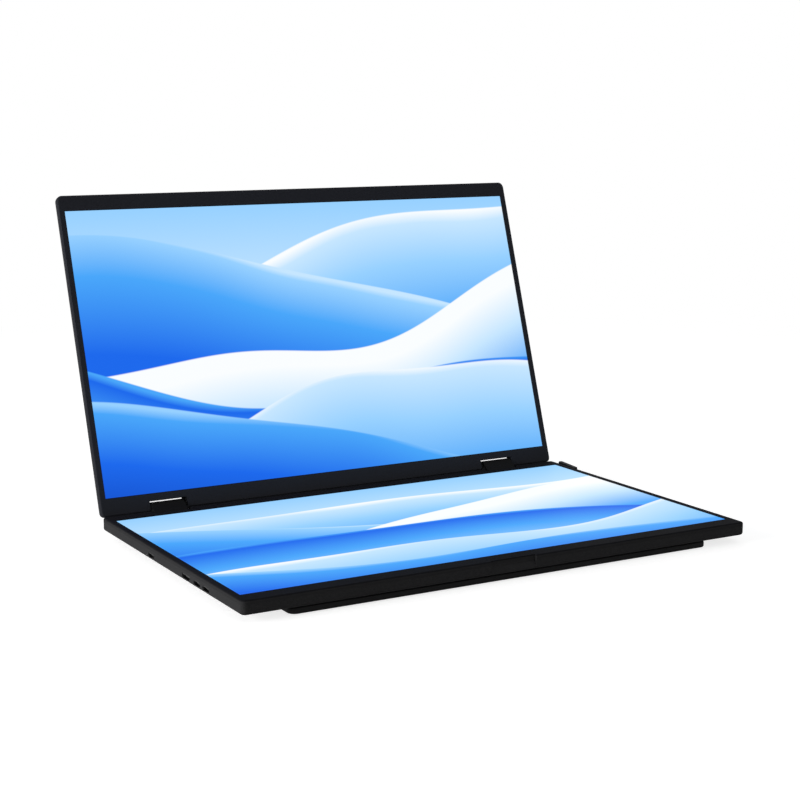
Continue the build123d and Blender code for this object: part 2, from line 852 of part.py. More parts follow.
# Base shell: the plain shell, and the holes and bosses of what it carries
with BuildPart() as base_shell:
    add(make_shell(base, base_bottom_round))
    add(scoop.part, mode=Mode.SUBTRACT)
    for outline, from_rear, _ in sockets.values():
        face_plane = Plane.YZ.offset(-case_half - overrun)
        extrude(
            outline(face_plane, from_rear, socket_fit),
            amount=overrun + case_half - cavity_half,
            mode=Mode.SUBTRACT,
        )
    with BuildSketch(Plane.XY.offset(inner_floor)):
        with Locations(board_mid):
            with GridLocations(*board_hole_spread, 2, 2):
                Circle(board_boss_radius)
                Circle(board_screw_radius + screw_fit, mode=Mode.SUBTRACT)
    extrude(amount=socket_height)
    extrude(
        base.patch(board_top - ribbon_clearance - base_lit, *ribbon_room, cavity_far, ribbon_reach),
        amount=base_thickness,
        mode=Mode.SUBTRACT,
    )
    with BuildSketch(Plane.XY.offset(base_bottom)):
        for sign in sides.values():
            with Locations((sign * speaker_from_centre, base_rear - speaker_from_rear)):
                with GridLocations(grille_slot_pitch, 0, grille_slot_count, 1):
                    SlotOverall(grille_slot_length, grille_slot_width, rotation=90)
    extrude(amount=floor_thickness, mode=Mode.SUBTRACT)
    with BuildSketch(Plane.XY.offset(inner_floor)):
        with Locations(stand_screw_places):
            Circle(stand_boss_radius)
    extrude(amount=stand_boss_height)
    with BuildSketch(Plane.XY.offset(base_bottom)):
        with Locations(stand_screw_places):
            Circle(stand_screw_radius + screw_fit)
    extrude(amount=stand_screw_bite + screw_fit, mode=Mode.SUBTRACT)
    with BuildSketch(Plane.YZ.offset(cavity_half)):
        with Locations(stem_places):
            Rectangle(stem_size + 2 * stem_clearance, stem_size + 2 * stem_clearance)
        with Locations(power_place):
            SlotOverall(power_width + 2 * power_fit, power_height + 2 * power_fit)
    extrude(amount=case_half - cavity_half, mode=Mode.SUBTRACT)
    shell_top = base_lit + base.bezel_bottom
    slot_bottom = lug_bottom - stem_clearance
    with BuildSketch(Plane.YZ.offset(cavity_half)):
        with Locations((rocker_y, (shell_top + slot_bottom) / 2)):
            Rectangle(rocker_lug_width + 2 * rocker_lug_clearance, shell_top - slot_bottom)
    extrude(amount=case_half - cavity_half, mode=Mode.SUBTRACT)
    with BuildSketch(Plane.XY.offset(pin_bottom)):
        with Locations((pivot_x, rocker_y)):
            Circle(rocker_pin_radius + press_fit)
    extrude(amount=rocker_pin_seat, mode=Mode.SUBTRACT)
save(base_shell.part, "base_shell")


# Hinge: brackets, shafts, washers and nuts are alike on both axes
def hinge_plane(sign, distance):
    """A plane square to the hinge, its x running from the base's axis to the lid's."""
    return Plane(
        origin=(sign * distance, base_axis_y, base_axis_z),
        x_dir=(0, sin(half_opening), cos(half_opening)),
        z_dir=(sign, 0, 0),
    )


def axis_disc(sign, distance, place, radius):
    """A disc about an axis that lies a given way from the base's axis towards the lid's."""
    with BuildSketch(hinge_plane(sign, distance)) as flat:
        with Locations((place, 0)):
            Circle(radius)
    return flat.sketch


def link_outline(sign, distance, radius):
    """The rounded outline around both axes."""
    with BuildSketch(hinge_plane(sign, distance)) as flat:
        with Locations((axis_spacing / 2, 0)):
            SlotCenterToCenter(axis_spacing, 2 * radius)
    return flat.sketch


def gear_outline(sign, distance, place, teeth, turn_share):
    """Straight-sided teeth about an axis, turned by a share of one tooth's pitch."""
    pitch_radius = module * teeth / 2
    root = pitch_radius - dedendum_share * module
    tip = pitch_radius + addendum_share * module
    flank = [
        (root, -tooth_root_share), (pitch_radius, -tooth_pitch_share), (tip, -tooth_tip_share),
        (tip, tooth_tip_share), (pitch_radius, tooth_pitch_share), (root, tooth_root_share),
    ]
    points = []
    for tooth in range(teeth):
        for radius, shift_share in flank:
            turn = 2 * pi * (tooth + turn_share + shift_share) / teeth
            points.append((radius * cos(turn), radius * sin(turn)))
    with BuildSketch(hinge_plane(sign, distance)) as flat:
        with Locations((place, 0)):
            Polygon(*points, align=None)
    return flat.sketch


def make_bracket(half, sign):
    tab = across_plane(sign, tab_inner)
    axis_origin = half.axis_plane.origin
    arm = sorted((sign * tab_inner, sign * tab_outer))
    leaf = sorted((sign * leaf_inner, sign * tab_outer))
    holes = [place for place in bracket_screw_places if place[0] * sign > 0]
    with BuildPart() as bracket:
        with BuildSketch(tab):
            with Locations((sign * axis_origin.Y, axis_origin.Z)):
                Circle(tab_radius)
        extrude(amount=tab_thickness)
        extrude(half.patch(half.leaf_bottom, *arm, 0, leaf_far), amount=leaf_drop + arm_top)
        extrude(half.patch(half.leaf_bottom, *leaf, leaf_near, leaf_far), amount=leaf_thickness)
        with BuildSketch(tab):
            with Locations((sign * axis_origin.Y, axis_origin.Z)):
                Circle(journal_radius + press_fit)
        extrude(amount=tab_thickness, mode=Mode.SUBTRACT)
        extrude(
            half.discs(half.leaf_bottom, bracket_screw_radius + screw_fit, holes),
            amount=leaf_thickness,
            mode=Mode.SUBTRACT,
        )
    return bracket.part


def make_shaft(sign, place, turn_share):
    with BuildPart() as shaft:
        extrude(axis_disc(sign, tab_inner, place, journal_radius), amount=cavity_inner - tab_inner)
        extrude(axis_disc(sign, cavity_inner, place, shaft_radius), amount=shaft_end - cavity_inner)
        extrude(gear_outline(sign, gear_inner, place, shaft_teeth, turn_share), amount=gear_width)
    return shaft.part


def make_washers(place):
    with BuildPart() as washers:
        for sign in sides.values():
            for step in range(washer_count):
                with BuildSketch(hinge_plane(sign, washer_inner + step * washer_pitch)):
                    with Locations((place, 0)):
                        Circle(washer_radius)
                        Circle(shaft_radius + press_fit, mode=Mode.SUBTRACT)
                extrude(amount=washer_thickness)
    return washers.part


def make_nuts(place):
    with BuildPart() as nuts:
        for sign in sides.values():
            with BuildSketch(hinge_plane(sign, nut_inner)):
                with Locations((place, 0)):
                    RegularPolygon(nut_width / 2, 6, major_radius=False)
                    Circle(shaft_radius + press_fit, mode=Mode.SUBTRACT)
            extrude(amount=nut_thickness)
    return nuts.part


def make_bracket_screws(half):
    head_level = half.leaf_bottom + leaf_thickness
    with BuildPart() as screws:
        extrude(
            half.discs(head_level, bracket_screw_head_radius, bracket_screw_places),
            amount=bracket_screw_head_height,
        )
        extrude(
            half.discs(head_level, bracket_screw_radius, bracket_screw_places),
            amount=-(leaf_thickness + bracket_screw_bite),
        )
    return screws.part


for half, name, place, turn_share in ((base, "base", 0, 0), (lid, "lid", axis_spacing, 1 / 2)):
    for side, sign in sides.items():
        save(make_bracket(half, sign), f"{name}_hinge_bracket_{side}")
        save(make_shaft(sign, place, turn_share), f"{name}_hinge_shaft_{side}")
    save(make_washers(place), f"{name}_torque_washers")
    save(make_nuts(place), f"{name}_shaft_nuts")
    save(make_bracket_screws(half), f"{name}_bracket_screws")

# Hinge housings, with the gear train's idlers between the bearing plate and the housing's inner wall
axis_places = (0, axis_spacing)
idler_places = (lower_idler_place, upper_idler_place)


def make_housing(sign):
    idler_bore = trunnion_length - axial_gap + running_fit
    with BuildPart() as housing:
        extrude(link_outline(sign, housing_inner, housing_radius), amount=cap_inner - housing_inner)
        fillet(housing.faces().sort_by(Axis((0, 0, 0), (sign, 0, 0)))[0].edges(), housing_edge_round)
        extrude(
            link_outline(sign, cavity_inner, housing_cavity_radius),
            amount=cap_inner - cavity_inner,
            mode=Mode.SUBTRACT,
        )
        for place in axis_places:
            extrude(
                axis_disc(sign, housing_inner, place, journal_radius + running_fit),
                amount=housing_wall,
                mode=Mode.SUBTRACT,
            )
        for place in idler_places:
            extrude(
                axis_disc(sign, cavity_inner, place, trunnion_radius + running_fit),
                amount=-idler_bore,
                mode=Mode.SUBTRACT,
            )
        with BuildSketch(hinge_plane(sign, spacer_inner)):
            with Locations((axis_spacing / 2, 0)):
                Rectangle(axis_spacing - 2 * (tab_radius + slot_clearance), spacer_width)
        extrude(amount=housing_inner - spacer_inner)
    return housing.part


for side, sign in sides.items():
    save(make_housing(sign), f"hinge_housing_{side}")

with BuildPart() as hinge_bearing_plates:
    for sign in sides.values():
        extrude(
            link_outline(sign, plate_inner, housing_cavity_radius - plate_fit),
            amount=bearing_plate_thickness,
        )
        for place in axis_places:
            extrude(
                axis_disc(sign, plate_inner, place, shaft_radius + running_fit),
                amount=bearing_plate_thickness,
                mode=Mode.SUBTRACT,
            )
        for place in idler_places:
            extrude(
                axis_disc(sign, plate_inner, place, trunnion_radius + running_fit),
                amount=bearing_plate_thickness,
                mode=Mode.SUBTRACT,
            )
save(hinge_bearing_plates.part, "hinge_bearing_plates")

with BuildPart() as hinge_end_caps:
    for sign in sides.values():
        extrude(link_outline(sign, cap_inner, housing_radius), amount=cap_thickness)
        extrude(link_outline(sign, cap_inner, housing_cavity_radius - cap_fit), amount=-cap_plug)
    outer_faces = hinge_end_caps.faces().filter_by(Axis.X).sort_by(Axis.X)
    fillet(outer_faces[0].edges() + outer_faces[-1].edges(), housing_edge_round)
save(hinge_end_caps.part, "hinge_end_caps")


def make_idlers(place, turn_share):
    with BuildPart() as idlers:
        for sign in sides.values():
            extrude(gear_outline(sign, gear_inner, place, idler_teeth, turn_share), amount=gear_width)
            extrude(
                axis_disc(sign, gear_inner - trunnion_length, place, trunnion_radius),
                amount=gear_width + 2 * trunnion_length,
            )
    return idlers.part


save(make_idlers(lower_idler_place, 1 / 2), "lower_idler_gears")
save(make_idlers(upper_idler_place, 0), "upper_idler_gears")

# Stand: a plate whose rear edge turns about pins in two lugs under the base
lug_slot_width = stand_lug_width + 2 * stand_lug_gap
lug_slot_front = stand_axis_y - stand_lug_radius - stand_lug_clearance
stand_front = base_front + stand_front_inset
pin_length = stand_lug_width + 2 * stand_pin_overhang
pin_bore_length = pin_length + 2 * stand_lug_gap

with BuildPart() as stand_plate:
    with BuildSketch(Plane.XY.offset(stand_bottom)) as stand_outline:
        with Locations((0, (stand_front + stand_axis_y) / 2)):
            Rectangle(stand_width, stand_axis_y - stand_front)
        fillet(stand_outline.vertices().group_by(Axis.Y)[0], stand_corner_radius)
    extrude(amount=stand_thickness)
    rims = stand_plate.faces().filter_by(Axis.Z).edges()
    fillet(rims.filter_by(lambda rim: rim.center().Y < stand_axis_y - stand_edge_round), stand_edge_round)
    with BuildSketch(Plane.YZ.offset(-stand_width / 2)):
        with Locations((stand_axis_y, stand_axis_z)):
            Circle(stand_thickness / 2)
    extrude(amount=stand_width)
    for sign in sides.values():
        with BuildSketch(Plane.XY):
            with Locations((sign * stand_lug_centre, (lug_slot_front + stand_axis_y + overrun) / 2)):
                Rectangle(lug_slot_width, stand_axis_y + overrun - lug_slot_front)
        extrude(amount=base_bottom, mode=Mode.SUBTRACT)
        with BuildSketch(Plane.YZ.offset(sign * stand_lug_centre - pin_bore_length / 2)):
            with Locations((stand_axis_y, stand_axis_z)):
                Circle(stand_pin_radius + running_fit)
        extrude(amount=pin_bore_length, mode=Mode.SUBTRACT)
save(stand_plate.part, "stand_plate")

with BuildPart() as stand_pins:
    for sign in sides.values():
        with BuildSketch(Plane.YZ.offset(sign * stand_lug_centre - pin_length / 2)):
            with Locations((stand_axis_y, stand_axis_z)):
                Circle(stand_pin_radius)
        extrude(amount=pin_length)
save(stand_pins.part, "stand_pins")

flange_front = stand_axis_y + stand_lug_radius + stand_lug_clearance
flange_bottom = base_bottom - stand_flange_thickness
for side, sign in sides.items():
    lug_start = sign * stand_lug_centre - stand_lug_width / 2
    with BuildPart() as stand_lug:
        with BuildSketch(Plane.YZ.offset(lug_start)):
            with Locations((stand_axis_y, stand_axis_z)):
                Circle(stand_lug_radius)
            with BuildLine():
                Polyline(
                    (stand_axis_y, stand_axis_z),
                    (flange_front, flange_bottom),
                    (flange_front, base_bottom),
                    (stand_axis_y, base_bottom),
                    close=True,
                )
            make_face()
        extrude(amount=stand_lug_width)
        with BuildSketch(Plane.XY.offset(flange_bottom)):
            with Locations((sign * stand_lug_centre, flange_front + stand_flange_length / 2)):
                Rectangle(stand_flange_width, stand_flange_length)
            with Locations([place for place in stand_screw_places if place[0] * sign > 0]):
                Circle(stand_screw_radius + screw_fit, mode=Mode.SUBTRACT)
        extrude(amount=stand_flange_thickness)
        with BuildSketch(Plane.YZ.offset(lug_start)):
            with Locations((stand_axis_y, stand_axis_z)):
                Circle(stand_pin_radius + press_fit)
        extrude(amount=stand_lug_width, mode=Mode.SUBTRACT)
    save(stand_lug.part, f"stand_lug_{side}")

with BuildPart() as stand_screws:
    with BuildSketch(Plane.XY.offset(flange_bottom)):
        with Locations(stand_screw_places):
            Circle(stand_screw_head_radius)
    extrude(amount=-stand_screw_head_height)
    with BuildSketch(Plane.XY.offset(flange_bottom)):
        with Locations(stand_screw_places):
            Circle(stand_screw_radius)
    extrude(amount=stand_flange_thickness + stand_screw_bite)
save(stand_screws.part, "stand_screws")

with BuildPart() as stand_bumpers:
    with BuildSketch(Plane.XY.offset(stand_top)):
        with Locations((0, stand_front + stand_bumper_from_front)):
            with GridLocations(stand_width - 2 * stand_bumper_from_end, 0, 2, 1):
                Circle(stand_bumper_radius)
    extrude(amount=stand_bumper_height)
save(stand_bumpers.part, "stand_bumpers")

with BuildPart() as stand_foot_strip:
    with BuildSketch(Plane.XY):
        with Locations((0, stand_front + foot_strip_from_front + foot_strip_width / 2)):
            SlotOverall(stand_width - 2 * foot_strip_end_gap, foot_strip_width)
    extrude(amount=foot_drop)
    fillet(stand_foot_strip.faces().sort_by(Axis.Z)[0].edges(), foot_round)
save(stand_foot_strip.part, "stand_foot_strip")

for side, sign in sides.items():
    with BuildPart() as rear_foot:
        with BuildSketch(Plane.XY):
            with Locations((sign * (case_half - rear_foot_from_side), base_rear - rear_foot_from_rear)):
                SlotOverall(rear_foot_length, rear_foot_width)
        extrude(amount=base_bottom)
        fillet(rear_foot.faces().sort_by(Axis.Z)[0].edges(), foot_round)
    save(rear_foot.part, f"rear_foot_{side}")
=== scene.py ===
# %% [markdown]
# # A folding monitor with a screen in each half
#
# The monitor opens like a book: the lid leans back on a geared hinge, and the base lies flat on
# its folded stand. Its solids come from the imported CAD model, which is loaded as a fixed frame,
# so every finish and every small piece added here goes where the CAD says. Lengths are in metres.

# %% Load the frame
import json
from math import cos, pi, radians, sin

import bmesh
import bpy
from mathutils import Matrix, Vector


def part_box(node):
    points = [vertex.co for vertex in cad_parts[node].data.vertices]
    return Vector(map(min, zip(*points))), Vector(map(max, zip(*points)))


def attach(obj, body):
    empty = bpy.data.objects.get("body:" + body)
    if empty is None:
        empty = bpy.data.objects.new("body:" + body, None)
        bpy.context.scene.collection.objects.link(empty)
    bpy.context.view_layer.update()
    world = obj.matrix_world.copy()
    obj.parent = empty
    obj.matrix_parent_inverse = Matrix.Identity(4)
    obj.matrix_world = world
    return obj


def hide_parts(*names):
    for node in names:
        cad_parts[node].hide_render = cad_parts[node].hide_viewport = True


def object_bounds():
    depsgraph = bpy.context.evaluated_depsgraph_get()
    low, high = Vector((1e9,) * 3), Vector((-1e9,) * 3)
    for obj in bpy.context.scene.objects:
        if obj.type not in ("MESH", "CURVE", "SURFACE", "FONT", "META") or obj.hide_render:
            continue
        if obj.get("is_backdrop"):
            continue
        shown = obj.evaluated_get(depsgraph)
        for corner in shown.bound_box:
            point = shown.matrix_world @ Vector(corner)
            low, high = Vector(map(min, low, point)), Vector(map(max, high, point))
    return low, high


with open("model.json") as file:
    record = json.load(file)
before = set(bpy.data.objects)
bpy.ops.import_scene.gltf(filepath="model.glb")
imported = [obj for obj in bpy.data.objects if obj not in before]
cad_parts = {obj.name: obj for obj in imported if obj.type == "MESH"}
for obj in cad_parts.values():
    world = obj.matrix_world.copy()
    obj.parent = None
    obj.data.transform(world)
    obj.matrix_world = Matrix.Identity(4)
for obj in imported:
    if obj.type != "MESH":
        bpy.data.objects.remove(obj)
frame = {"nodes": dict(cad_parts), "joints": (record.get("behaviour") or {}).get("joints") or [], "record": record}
nodes = frame["nodes"]
cad_low, cad_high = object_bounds()
print("loaded", len(nodes), "nodes, box", [round(side, 4) for side in cad_high - cad_low])

# %% [markdown]
# ## The camera
#
# The camera could be set by eye. Here its place was solved from the eight corners of the two lit
# screens, whose real shape is known, so the render lies exactly over the photograph. The camera
# stands to the left of the monitor, a little above it, with a long lens.


# %% Place the camera
def add_object(name, data):
    """A new object in the scene."""
    made = bpy.data.objects.new(name, data)
    bpy.context.scene.collection.objects.link(made)
    return made


eye = Vector((-0.5456, -0.9676, 0.2827))
azimuth, elevation, roll = radians(-29.661), radians(10.026), radians(-0.079)
sensor_millimetres = 36.0
focal_pixels = 1716.044
picture_pixels = 800

back = Vector((sin(azimuth) * cos(elevation), -cos(azimuth) * cos(elevation), sin(elevation)))
level = Vector((cos(azimuth), sin(azimuth), 0))
right = (Matrix.Rotation(roll, 3, back) @ level).normalized()
up = back.cross(right)

lens = bpy.data.cameras.new("camera")
lens.sensor_width = sensor_millimetres
lens.lens = sensor_millimetres * focal_pixels / picture_pixels
camera = add_object("camera", lens)
camera.matrix_world = Matrix((right, up, back)).transposed().to_4x4()
camera.location = eye
bpy.context.scene.camera = camera
print("camera lens", round(lens.lens, 2), "mm")

# %% [markdown]
# ## Tools for node trees
#
# Materials, the world and the repeated pieces are all trees of nodes. They could be wired by hand
# in the node editor, but a script can be read and run again. These helpers keep it readable: they
# add a node with its settings and inputs, make a group whose sockets have plain names, do sums
# and mix.


# %% Nodes and groups
def add_node(tree, kind, settings=None, inputs=None):
    """A new node, with its own settings and with values or links for its inputs."""
    made = tree.nodes.new(kind)
    for name, value in (settings or {}).items():
        setattr(made, name, value)
    for name, value in (inputs or {}).items():
        if isinstance(value, bpy.types.NodeSocket):
            tree.links.new(value, made.inputs[name])
        else:
            made.inputs[name].default_value = value
    return made


def new_group(name, kind, inputs, outputs):
    """An empty node group with named sockets, and its input and output nodes."""
    tree = bpy.data.node_groups.new(name, kind)
    for label, socket_kind, value in inputs:
        socket = tree.interface.new_socket(label, in_out="INPUT", socket_type=socket_kind)
        if value is not None:
            socket.default_value = value
    for label, socket_kind in outputs:
        tree.interface.new_socket(label, in_out="OUTPUT", socket_type=socket_kind)
    return tree, tree.nodes.new("NodeGroupInput"), tree.nodes.new("NodeGroupOutput")


def place_group(tree, group, inputs):
    """A shader group placed in a material's tree."""
    return add_node(tree, "ShaderNodeGroup", {"node_tree": group}, inputs)


print("helpers for nodes and groups ready")


# %% Sums, mixes and ramps
def math_node(tree, operation, *values):
    """The result of a sum on values or sockets."""
    inputs = dict(enumerate(values))
    return add_node(tree, "ShaderNodeMath", {"operation": operation}, inputs).outputs[0]


def mix_values(tree, share, first, second):
    """A value between two values."""
    inputs = {0: share, 2: first, 3: second}
    return add_node(tree, "ShaderNodeMix", {"data_type": "FLOAT"}, inputs).outputs[0]


def mix_colours(tree, share, first, second):
    """A colour between two colours."""
    inputs = {0: share, 6: first, 7: second}
    return add_node(tree, "ShaderNodeMix", {"data_type": "RGBA"}, inputs).outputs[2]


def range_node(tree, value, span=(0.0, 1.0), result=(0.0, 1.0), curve="LINEAR"):
    """A value's place in a span, spread over a range of results."""
    inputs = {
        "Value": value, "From Min": span[0], "From Max": span[1],
        "To Min": result[0], "To Max": result[1],
    }
    ranged = add_node(tree, "ShaderNodeMapRange", {"interpolation_type": curve}, inputs)
    return ranged.outputs["Result"]


def ramp_node(tree, value, stops):
    """A colour ramp over a value, from places and colours."""
    ramp = add_node(tree, "ShaderNodeValToRGB", inputs={"Fac": value})
    elements = ramp.color_ramp.elements
    while len(elements) < len(stops):
        elements.new(1.0)
    for element, (place, colour) in zip(elements, stops):
        element.position = place
        element.color = (*colour, 1)
    return ramp.outputs["Color"]


print("helpers for sums, mixes and ramps ready")

# %% [markdown]
# ## The studio
#
# The photograph has a plain white surround. A bright lamp could bleach a floor to white, but it
# would wash out the dark casing too. So the floor is mostly white by its own glow, which only
# camera, glossy and transmission rays see, and it still takes the object's soft shadow. Far from
# the object it turns into plain white, so no horizon shows. The world is white to the same rays
# and dimmer as a light.

# %% The world
white, black = (1, 1, 1, 1), (0, 0, 0, 1)
ambient_strength = 0.27


def seen_directly(tree):
    """One for camera, glossy and transmission rays, zero for the light that falls on things."""
    path = add_node(tree, "ShaderNodeLightPath").outputs
    either = math_node(tree, "MAXIMUM", path["Is Camera Ray"], path["Is Glossy Ray"])
    return math_node(tree, "MAXIMUM", either, path["Is Transmission Ray"])


world = bpy.data.worlds.new("studio")
world.use_nodes = True
sky = world.node_tree
sky.nodes.clear()
sky_strength = mix_values(sky, seen_directly(sky), ambient_strength, 1.0)
surround = add_node(sky, "ShaderNodeBackground", inputs={"Color": white, "Strength": sky_strength})
add_node(sky, "ShaderNodeOutputWorld", inputs={"Surface": surround.outputs[0]})
bpy.context.scene.world = world
print("world's strength as a light", ambient_strength)

# %% The floor
floor_half = 6.0
floor_glow = 0.78
floor_colour = (0.5, 0.5, 0.5, 1)
fade_span = (0.45, 1.1)

floor_mesh = bpy.data.meshes.new("floor")
corners = [(x * floor_half, y * floor_half, 0) for x, y in ((-1, -1), (1, -1), (1, 1), (-1, 1))]
floor_mesh.from_pydata(corners, [], [(0, 1, 2, 3)])
floor_finish = bpy.data.materials.new("pale_floor")
floor_finish.use_nodes = True
paint = floor_finish.node_tree
paint.nodes.clear()
spot = add_node(paint, "ShaderNodeTexCoord").outputs["Object"]
reach = add_node(paint, "ShaderNodeVectorMath", {"operation": "LENGTH"}, {0: spot})
away = range_node(paint, reach.outputs["Value"], fade_span, curve="SMOOTHSTEP")
matt_colour = mix_colours(paint, away, floor_colour, black)
matt = add_node(paint, "ShaderNodeBsdfDiffuse", inputs={"Color": matt_colour})
brightness = mix_values(paint, away, floor_glow, 1.0)
glow_strength = math_node(paint, "MULTIPLY", seen_directly(paint), brightness)
glow = add_node(paint, "ShaderNodeEmission", inputs={"Color": white, "Strength": glow_strength})
both = add_node(paint, "ShaderNodeAddShader", inputs={0: matt.outputs[0], 1: glow.outputs[0]})
add_node(paint, "ShaderNodeOutputMaterial", inputs={"Surface": both.outputs[0]})
floor_mesh.materials.append(floor_finish)
floor = add_object("floor", floor_mesh)
floor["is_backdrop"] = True
bpy.context.scene.view_settings.view_transform = "Standard"
print("floor", 2 * floor_half, "m wide")

# %% [markdown]
# ## The lamps
#
# In the photograph the socket side is the brightest face and the front edge the darkest, so the
# main lamp stands on the left. A weaker one in front and above lights the lid's bezel, and a
# third behind lights the lid's back. Small lamps would make hot spots, so all three are large
# soft panels.


# %% Lamps
def add_lamp(name, place, size, power):
    """A square soft panel that faces the middle of the object."""
    data = bpy.data.lights.new(name, "AREA")
    data.size = size
    data.energy = power
    lamp = add_object(name, data)
    target = (cad_low + cad_high) / 2
    lamp.rotation_mode = "QUATERNION"
    lamp.rotation_quaternion = (target - Vector(place)).to_track_quat("-Z", "Y")
    lamp.location = place
    return lamp


# Each lamp has a name, a place, a width and a power in watts.
lamps = [
    add_lamp("left_panel", (-1.95, 0.15, 0.5), 1.0, 40),
    add_lamp("front_panel", (0.3, -1.6, 1.9), 1.4, 6),
    add_lamp("rear_panel", (0.7, 2.1, 0.95), 1.2, 11),
]
print("lamps", [lamp.name for lamp in lamps])

# %% [markdown]
# ## Grain, smudges and brushed lines
#
# Moulded plastic and anodised metal have a fine grain that breaks up their gloss, and everything
# that is handled has faint smudges. Sheet metal has straight rolling lines. Each finish could
# have its own textures, but several share the same effect, so each effect is a shader group built
# once, with its scale as an input.

# %% Fine grain
float_socket, vector_socket, colour_socket = (
    "NodeSocketFloat", "NodeSocketVector", "NodeSocketColor",
)
pit_detail, pit_span = 2.0, (0.3, 0.7)
cell_scale_share, cell_smoothness, cell_weight = 0.6, 0.6, 0.5

grain, grain_in, grain_out = new_group(
    "fine_grain", "ShaderNodeTree",
    [("Vector", vector_socket, None), ("Grains per metre", float_socket, 1500.0)],
    [("Height", float_socket), ("Shade", float_socket)],
)
grain_place, grain_scale = grain_in.outputs["Vector"], grain_in.outputs["Grains per metre"]
pits = add_node(
    grain, "ShaderNodeTexNoise",
    inputs={"Vector": grain_place, "Scale": grain_scale, "Detail": pit_detail},
).outputs["Fac"]
cells = add_node(
    grain, "ShaderNodeTexVoronoi", {"feature": "SMOOTH_F1"},
    {
        "Vector": grain_place, "Smoothness": cell_smoothness,
        "Scale": math_node(grain, "MULTIPLY", grain_scale, cell_scale_share),
    },
).outputs["Distance"]
relief = math_node(grain, "MULTIPLY_ADD", cells, cell_weight, pits)
grain.links.new(relief, grain_out.inputs["Height"])
grain.links.new(range_node(grain, pits, pit_span), grain_out.inputs["Shade"])
print("group", grain.name)

# %% Handling smudges
smudge_detail, smudge_distortion, smudge_span = 5.0, 0.6, (0.4, 0.68)

smudges, smudges_in, smudges_out = new_group(
    "handling_smudges", "ShaderNodeTree",
    [("Vector", vector_socket, None), ("Smudges per metre", float_socket, 14.0)],
    [("Mask", float_socket)],
)
cloud = add_node(
    smudges, "ShaderNodeTexNoise",
    inputs={
        "Vector": smudges_in.outputs["Vector"], "Scale": smudges_in.outputs["Smudges per metre"],
        "Detail": smudge_detail, "Distortion": smudge_distortion,
    },
).outputs["Fac"]
patchy = range_node(smudges, cloud, smudge_span, curve="SMOOTHSTEP")
smudges.links.new(patchy, smudges_out.inputs["Mask"])
print("group", smudges.name)

# %% Rolling lines
line_stretch = (0.02, 1.0, 1.0)
line_detail, line_span = 3.0, (0.32, 0.68)

lines, lines_in, lines_out = new_group(
    "rolling_lines", "ShaderNodeTree",
    [("Vector", vector_socket, None), ("Lines per metre", float_socket, 3000.0)],
    [("Height", float_socket), ("Shade", float_socket)],
)
stretched = add_node(
    lines, "ShaderNodeMapping",
    inputs={"Vector": lines_in.outputs["Vector"], "Scale": line_stretch},
)
streaks = add_node(
    lines, "ShaderNodeTexNoise",
    inputs={
        "Vector": stretched.outputs[0], "Scale": lines_in.outputs["Lines per metre"],
        "Detail": line_detail,
    },
).outputs["Fac"]
lines.links.new(streaks, lines_out.inputs["Height"])
lines.links.new(range_node(lines, streaks, line_span), lines_out.inputs["Shade"])
print("group", lines.name)

# %% [markdown]
# ## Plain finishes
#
# Most pieces are moulded plastic, anodised metal, rubber or plated steel. Each could have a tree
# of its own, but they share one recipe: two close tones mixed by the grain or the rolling lines,
# a roughness that the smudges change a little, and a shallow bump. The numbers make each finish
# its own. The base's bezel has painted shade on its top only: the top is darker than the lid's
# bezel, standing for the shade under the lid and cancelling the light of the lid's lit screen.
# Its rounded edge turns into the casing's grey, as in the photograph, so its material reads the height.

# %% The recipe
micron = 1e-6
bump_strength = 0.6


def new_material(name):
    """A new material, its tree, its shader and the place of a point on the object."""
    material = bpy.data.materials.new(name)
    material.use_nodes = True
    tree = material.node_tree
    where = add_node(tree, "ShaderNodeTexCoord").outputs["Object"]
    return material, tree, tree.nodes["Principled BSDF"], where


def mix_tones(tree, share, tones):
    """A colour between two tones."""
    return mix_colours(tree, share, *[(*tone, 1) for tone in tones])


def make_finish(
    name, tones, roughness, microns, texture=grain, per_metre=1500.0, metallic=0.0, specular=0.5,
    lower=None,
):
    """A finish with two tones, a roughness range, a bump and a texture group of a given scale.

    Where lower gives two other tones and two heights, the piece has those tones below the heights.
    """
    material, tree, shader, where = new_material(name)
    scale_name = "Grains per metre" if texture is grain else "Lines per metre"
    surface = place_group(tree, texture, {"Vector": where, scale_name: per_metre}).outputs
    marks = place_group(tree, smudges, {"Vector": where}).outputs["Mask"]
    tone = mix_tones(tree, surface["Shade"], tones)
    if lower:
        lower_tones, edge = lower
        lower_tone = mix_tones(tree, surface["Shade"], lower_tones)
        height_here = add_node(tree, "ShaderNodeSeparateXYZ", inputs={0: where}).outputs["Z"]
        on_top = range_node(tree, height_here, edge, curve="SMOOTHSTEP")
        tone = mix_colours(tree, on_top, lower_tone, tone)
    raised = add_node(
        tree, "ShaderNodeBump",
        inputs={
            "Distance": microns * micron, "Strength": bump_strength, "Height": surface["Height"],
        },
    )
    tree.links.new(tone, shader.inputs["Base Color"])
    tree.links.new(range_node(tree, marks, result=roughness), shader.inputs["Roughness"])
    tree.links.new(raised.outputs[0], shader.inputs["Normal"])
    shader.inputs["Metallic"].default_value = metallic
    shader.inputs["Specular IOR Level"].default_value = specular
    return material


print("recipe ready")

# %% Tones
blue_cast = 1.04
curve_knee, curve_slope, curve_offset, curve_power = 0.04045, 12.92, 0.055, 2.4


def greys(*levels):
    """Greys with a slightly cool cast."""
    return tuple((level, level, level * blue_cast) for level in levels)


def unbend(share):
    """A share of full light from a share of a screen value, by the usual curve of screens."""
    if share <= curve_knee:
        return share / curve_slope
    return ((share + curve_offset) / (1 + curve_offset)) ** curve_power


def linear(*levels):
    """A colour from screen values of 0 to 255, as the shader wants it."""
    return tuple(unbend(level / 255) for level in levels)


